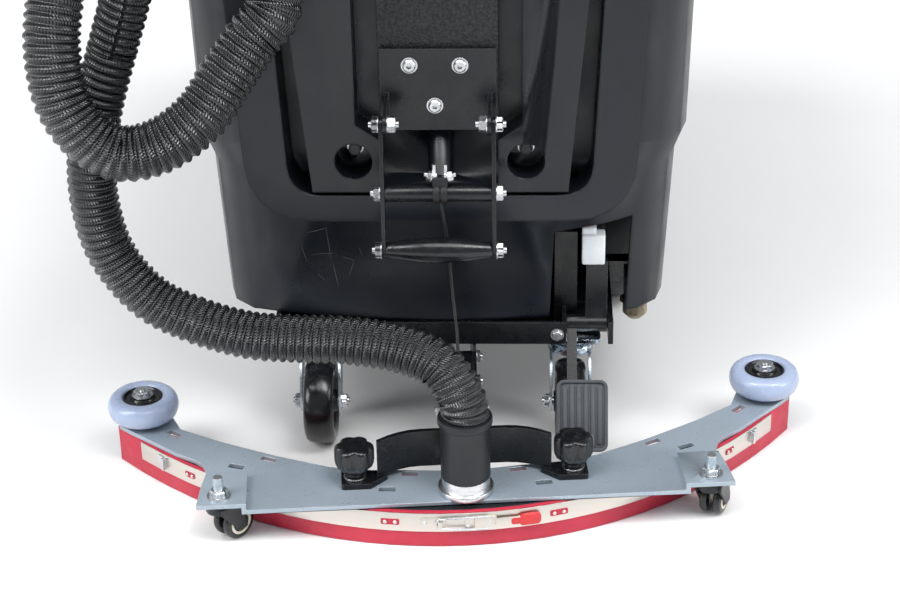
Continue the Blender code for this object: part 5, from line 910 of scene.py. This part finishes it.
def addPedal():
    place = padFrame()
    outwards = (place.to_3x3() @ Vector((0, 0, 1))).y < 0
    face = 1 if outwards else -1
    floor = -face * pad["groove"]
    shapes = [roundedSlab(pad["width"], pad["length"], pad["corner"], *sorted((-face
        * pad["thickness"], floor)), place)]
    span = pad["width"] - 2 * pad["margin"]
    step = span / pad["ribs"]
    for i in range(pad["ribs"]):
        x = -span / 2 + step * (i + 0.5)
        inset = 0.0030 if i in (0, pad["ribs"] - 1) else 0.0
        rib = place @ Matrix.Translation((x, 0, 0))
        shapes.append(roundedSlab(step * 0.60, pad["length"] - 2 * pad["margin"] - 2 * inset, step
            * 0.28, *sorted((floor - face * 0.0005, -face * 0.0003)), rib, 5))
    rim = roundedRim(place, floor - face * 0.0005, -face * 0.0002)
    addPiece("pedal_pad_ribbed", joinShapes(shapes + [rim]), [looks["greyRubber"]], "pedal", 0.0006,
        2, 40, ("pedal_pad",))
    block = joinShapes([roundedBox(onMachine(0.1545, 0.0105, 0.2235), onMachine(0.1800, 0.0290,
        0.2600)), roundedBox(onMachine(0.1545, 0.0130, 0.2580), onMachine(0.1700, 0.0265, 0.2680))])
    addPiece("pedal_guide_block", block, [looks["whitePlastic"]], "pedal", 0.0022, 3, 30, ())
    dress("pedal_lever", "coatedBlack", 0.0, 2, 35)


# The raised border of the pad, a closed ring.
def roundedRim(place, low, high):
    shape = bmesh.new()
    rows = []
    for inset, z in ((0.0, low), (0.0, high), (pad["rim"], high), (pad["rim"], low)):
        outline = roundedOutline(pad["width"], pad["length"], pad["corner"], 8, inset)
        rows.append([shape.verts.new(place @ Vector((x, y, z))) for x, y in outline])
    for first, second in zip(rows, rows[1:] + rows[:1]):
        for i in range(len(first)):
            j = (i + 1) % len(first)
            shape.faces.new((first[i], first[j], second[j], second[i]))
    bmesh.ops.recalc_face_normals(shape, faces=shape.faces[:])
    return shape


addPedal()
print("lever and pedal done")


# Blade strap and its latch
strap = {"slotLow": 0.0275, "slotHigh": 0.0352}


def bladeLine(x):
    return -0.2130 + 1.20 * x**2 + 1.35 * x**4


# A place on the strap's outer face: local x along it, z outwards, y up.
def strapFrame(x, lift):
    slope = 2.4 * x + 5.4 * x**3
    along = Vector((1, slope, 0)).normalized()
    out = Vector((along.y, -along.x, 0))
    turn = Matrix((along, Vector((0, 0, 1)), out)).transposed().to_4x4()
    return squeegeeFrame @ Matrix.Translation((x, bladeLine(x) - 0.0015, lift)) @ turn


def addStrapDetails():
    windows, pins = [], []
    for x in (-0.300, -0.0830, 0.0975, 0.300):
        wide = 0.020 if abs(x) < 0.2 else 0.014
        place = strapFrame(x, (strap["slotLow"] + strap["slotHigh"]) / 2)
        windows.append(roundedSlab(wide, 0.0072, 0.0018, -0.0004, 0.0003, place, 4))
        for way in (-1, 1):
            at = place @ Vector((way * wide * 0.27, 0, 0.0002))
            pins.append((at, place.to_3x3() @ Vector((0, 0, 1))))
    addPiece("strap_windows", joinShapes(windows), [looks["crimson"]], "squeegee", 0, 2, 40, ())
    addFasteners("strap_pins", "squeegee", "stainless", pins, 0.0022, 0.0016, 0.0006, sides=16)
    tabs = []
    for x in (-0.332, 0.332):
        place = strapFrame(x, 0.0320)
        tabs.append(roundedSlab(0.013, 0.0150, 0.0020, -0.0006, 0.0012, place, 4))
        tabs.append(roundedSlab(0.004, 0.0150, 0.0010, 0.0010, 0.0052, place
            @ Matrix.Translation((-0.0045 if x > 0 else 0.0045, 0, 0)), 3))
    addPiece("strap_end_brackets", joinShapes(tabs), [looks["zinc"]], "squeegee", 0.0003, 2, 40, ())


def wirePath(name, points, radius, look, body, closed=True):
    curve = bpy.data.curves.new(name, "CURVE")
    curve.dimensions = "3D"
    curve.bevel_depth = radius
    curve.bevel_resolution = 4
    curve.use_fill_caps = True
    spline = curve.splines.new("POLY")
    spline.points.add(len(points) - 1)
    for target, point in zip(spline.points, points):
        target.co = (*point, 1)
    spline.use_cyclic_u = closed
    holder = bpy.data.objects.new(name, curve)
    scene.collection.objects.link(holder)
    mesh = bpy.data.meshes.new_from_object(holder.evaluated_get(bpy.context.evaluated_depsgraph_get()))
    bpy.data.objects.remove(holder)
    shape = bmesh.new()
    shape.from_mesh(mesh)
    return addPiece(name, shape, [looks[look]], body, 0, 2, 60, ())


def latchPoint(x, lift, out):
    return strapFrame(x, lift) @ Vector((0, 0, out))


def addLatch():
    middle = 0.0315
    lever = []
    for low, high, half, near, far in ((0.006, 0.030, 0.0068, 0.0010, 0.0040), (0.028, 0.058,
            0.0050, 0.0022, 0.0050)):
        centre = (low + high) / 2
        lever.append(roundedSlab(high - low, 2 * half, 0.0022, near, far, strapFrame(centre,
            middle), 4))
    addPiece("latch_lever", joinShapes(lever), [looks["stainless"]], "latch", 0.0006, 2, 35,
        ("strap_latch",))
    tip = joinShapes([roundedSlab(0.024, 0.0135, 0.0048, 0.0014, 0.0058, strapFrame(0.0650, middle),
        6), roundedSlab(0.012, 0.0085, 0.0030, 0.0012, 0.0056, strapFrame(0.0505, middle), 5)])
    addPiece("latch_tip", tip, [looks["redPlastic"]], "latch", 0.0010, 3, 35, ())
    loop = []
    for x, lift in ((-0.030, middle - 0.0060), (-0.033, middle - 0.0045), (-0.0345, middle),
            (-0.033, middle + 0.0045), (-0.030, middle + 0.0060), (0.006, middle + 0.0075), (0.020,
            middle + 0.0075), (0.0225, middle + 0.0055), (0.0225, middle - 0.0055), (0.020, middle
            - 0.0075), (0.006, middle - 0.0075)):
        loop.append(latchPoint(x, lift, 0.0034))
    wirePath("latch_bail", loop, 0.0013, "zinc", "latch")
    hook = joinShapes([roundedSlab(0.026, 0.0120, 0.0020, -0.0004, 0.0012, strapFrame(-0.0380,
        middle), 4), roundedSlab(0.0052, 0.0100, 0.0015, 0.0010, 0.0068, strapFrame(-0.0300,
        middle), 4)])
    addPiece("latch_hook", hook, [looks["stainless"]], "squeegee", 0.0004, 2, 35, ())
    base = roundedSlab(0.034, 0.0150, 0.0020, -0.0004, 0.0010, strapFrame(0.0130, middle), 4)
    addPiece("latch_base", base, [looks["stainless"]], "squeegee", 0.0003, 2, 35, ())
    rivets = [(latchPoint(x, middle + lift, 0.0008), strapFrame(x, 0).to_3x3() @ Vector((0, 0, 1)))
        for x, lift in ((-0.046, 0.0), (-0.0005, 0.0045), (-0.0005, -0.0045), (0.0265, 0.0))]
    addFasteners("latch_rivets", "squeegee", "zinc", rivets, 0.0021, 0.0013, 0.0006, sides=16)


addStrapDetails()
addLatch()
print("strap and latch done")


# Everything else keeps its solid, with clean edges
# Finish, edge rounding and the solids that have them
rest = (("bodyBlack", 0.0, "solution_tank console_housing"), ("columnBlack", 0.0,
    "rear_column stem_caster_left stem_caster_right"), ("panelBlack", 0.0006, "column_panel"),
    ("coatedBlack", 0.0,
    "chassis_frame handle_bar swing_arm blade_carrier squeegee_bracket " "lift_bracket"),
    ("tankGrey", 0.0, "recovery_tank tank_lid"), ("redPlastic", 0.0, "drive_bail"), ("zinc", 0.0003,
    "key"), ("glossRubber", 0.0006, "switch_brush switch_vacuum"), ("redPlastic", 0.0008,
    "stop_button"), ("alloy", 0.0006, "vacuum_motor"), ("battery", 0.002,
    "battery_left battery_right"), ("castBlack", 0.0, "brush_deck"), ("castBlack", 0.001,
    "brush_motor"), ("blackRubber", 0.0, "splash_skirt"), ("bristle", 0.0, "brush"), ("blackRubber",
    0.0008, "wheel_left wheel_right"), ("coatedBlack", 0.0005, "upper_link lower_link"), ("crimson",
    0.0003, "front_blade"), ("crimson", 0.0004, "rear_blade"), ("stainless", 0.0002, "blade_strap"),
    ("brass", 0.0005, "drain_cock"), ("powderGrey", 0.0, "squeegee_plate"), ("blueZinc", 0.0005,
    "caster_plate_left"), ("blueZinc", 0.0,
    "caster_plate_right caster_fork_left caster_fork_right"),)
# Fine scuffs on the tank's left rear face: (start x, start z, end x, end z, width)
scuffs = ((-0.150, 0.262, -0.128, 0.270, 0.0009), (-0.128, 0.270, -0.124, 0.232, 0.0007), (-0.146,
    0.236, -0.118, 0.240, 0.0006), (-0.122, 0.226, -0.117, 0.198, 0.0008), (-0.112, 0.236, -0.098,
    0.232, 0.0007), (-0.098, 0.232, -0.104, 0.214, 0.0007), (-0.158, 0.250, -0.152, 0.226, 0.0005),
    (-0.140, 0.212, -0.131, 0.204, 0.0005), (-0.092, 0.248, -0.088, 0.238, 0.0005))


def addScuffs():
    wall = nodes["solution_tank"]
    shape = bmesh.new()
    for startX, startZ, endX, endZ, width in scuffs:
        across = Vector((endZ - startZ, 0, startX - endX)).normalized() * width / 2
        rows = []
        for i in range(9):
            share = i / 8
            at = onMachine(startX + (endX - startX) * share, -0.3, startZ + (endZ - startZ) * share)
            taper = 0.25 + 0.75 * math.sin(math.pi * (0.08 + 0.84 * share))
            pair = []
            for way in (-1, 1):
                point = at + way * across * taper
                _, place, normal, _ = wall.ray_cast(point, Vector((0, 1, 0)))
                pair.append(place + normal * 0.00015)
            rows.append([shape.verts.new(place) for place in pair])
        for (a, b), (c, d) in zip(rows, rows[1:]):
            shape.faces.new((a, b, d, c))
    for face in shape.faces:
        face.normal_update()
        if face.normal.y > 0:
            face.normal_flip()
    addPiece("tank_scuffs", shape, [looks["scuff"]], "machine", 0, 2, 60, ())


addScuffs()
for look, bevel, solids in rest:
    for node in solids.split():
        dress(node, look, bevel)
print("solids dressed")


# Floor and light
def addStage():
    data = bpy.data.meshes.new("floor")
    reach = 30.0
    data.from_pydata([(-reach, -reach, 0), (reach, -reach, 0), (reach, reach, 0), (-reach, reach,
        0)], [], [(0, 1, 2, 3)])
    floor = bpy.data.objects.new("floor", data)
    scene.collection.objects.link(floor)
    data.materials.append(finish("paleFloor", (0.90, 0.90, 0.90), (0.93, 0.93, 0.93), (0.55, 0.65),
        patch=1.5, grain=60, depth=0.0001, edge=0.0001))
    world = bpy.data.worlds.new("studio")
    world.use_nodes = True
    world.node_tree.nodes["Background"].inputs["Color"].default_value = (0.93, 0.97, 1.0, 1)
    world.node_tree.nodes["Background"].inputs["Strength"].default_value = 0.34
    scene.world = world
    for name, heading, height, power, spread in (("sunLeft", -52, 52, 1.45, 26), ("sunRight", 48,
            58, 1.45, 26)):
        lamp = bpy.data.lights.new(name, "SUN")
        lamp.energy = power
        lamp.angle = math.radians(spread)
        made = bpy.data.objects.new(name, lamp)
        scene.collection.objects.link(made)
        made.rotation_euler = (math.radians(90 - height), 0, math.radians(heading))
    lights = (("left", (-2.4, -1.6, 1.3), 1.1, 26), ("right", (2.5, -1.2, 1.4), 1.1, 22), ("above",
        (0.1, -1.5, 3.2), 1.6, 34))
    for name, place, size, power in lights:
        lamp = bpy.data.lights.new(name, "AREA")
        lamp.shape = "SQUARE"
        lamp.size = size
        lamp.energy = power
        made = bpy.data.objects.new(name, lamp)
        scene.collection.objects.link(made)
        aim = Vector((0, -0.3, 0.3)) - Vector(place)
        made.matrix_world = Matrix.Translation(place) @ aim.to_track_quat("-Z",
            "Y").to_matrix().to_4x4()


scene.view_settings.view_transform = "Standard"
addStage()
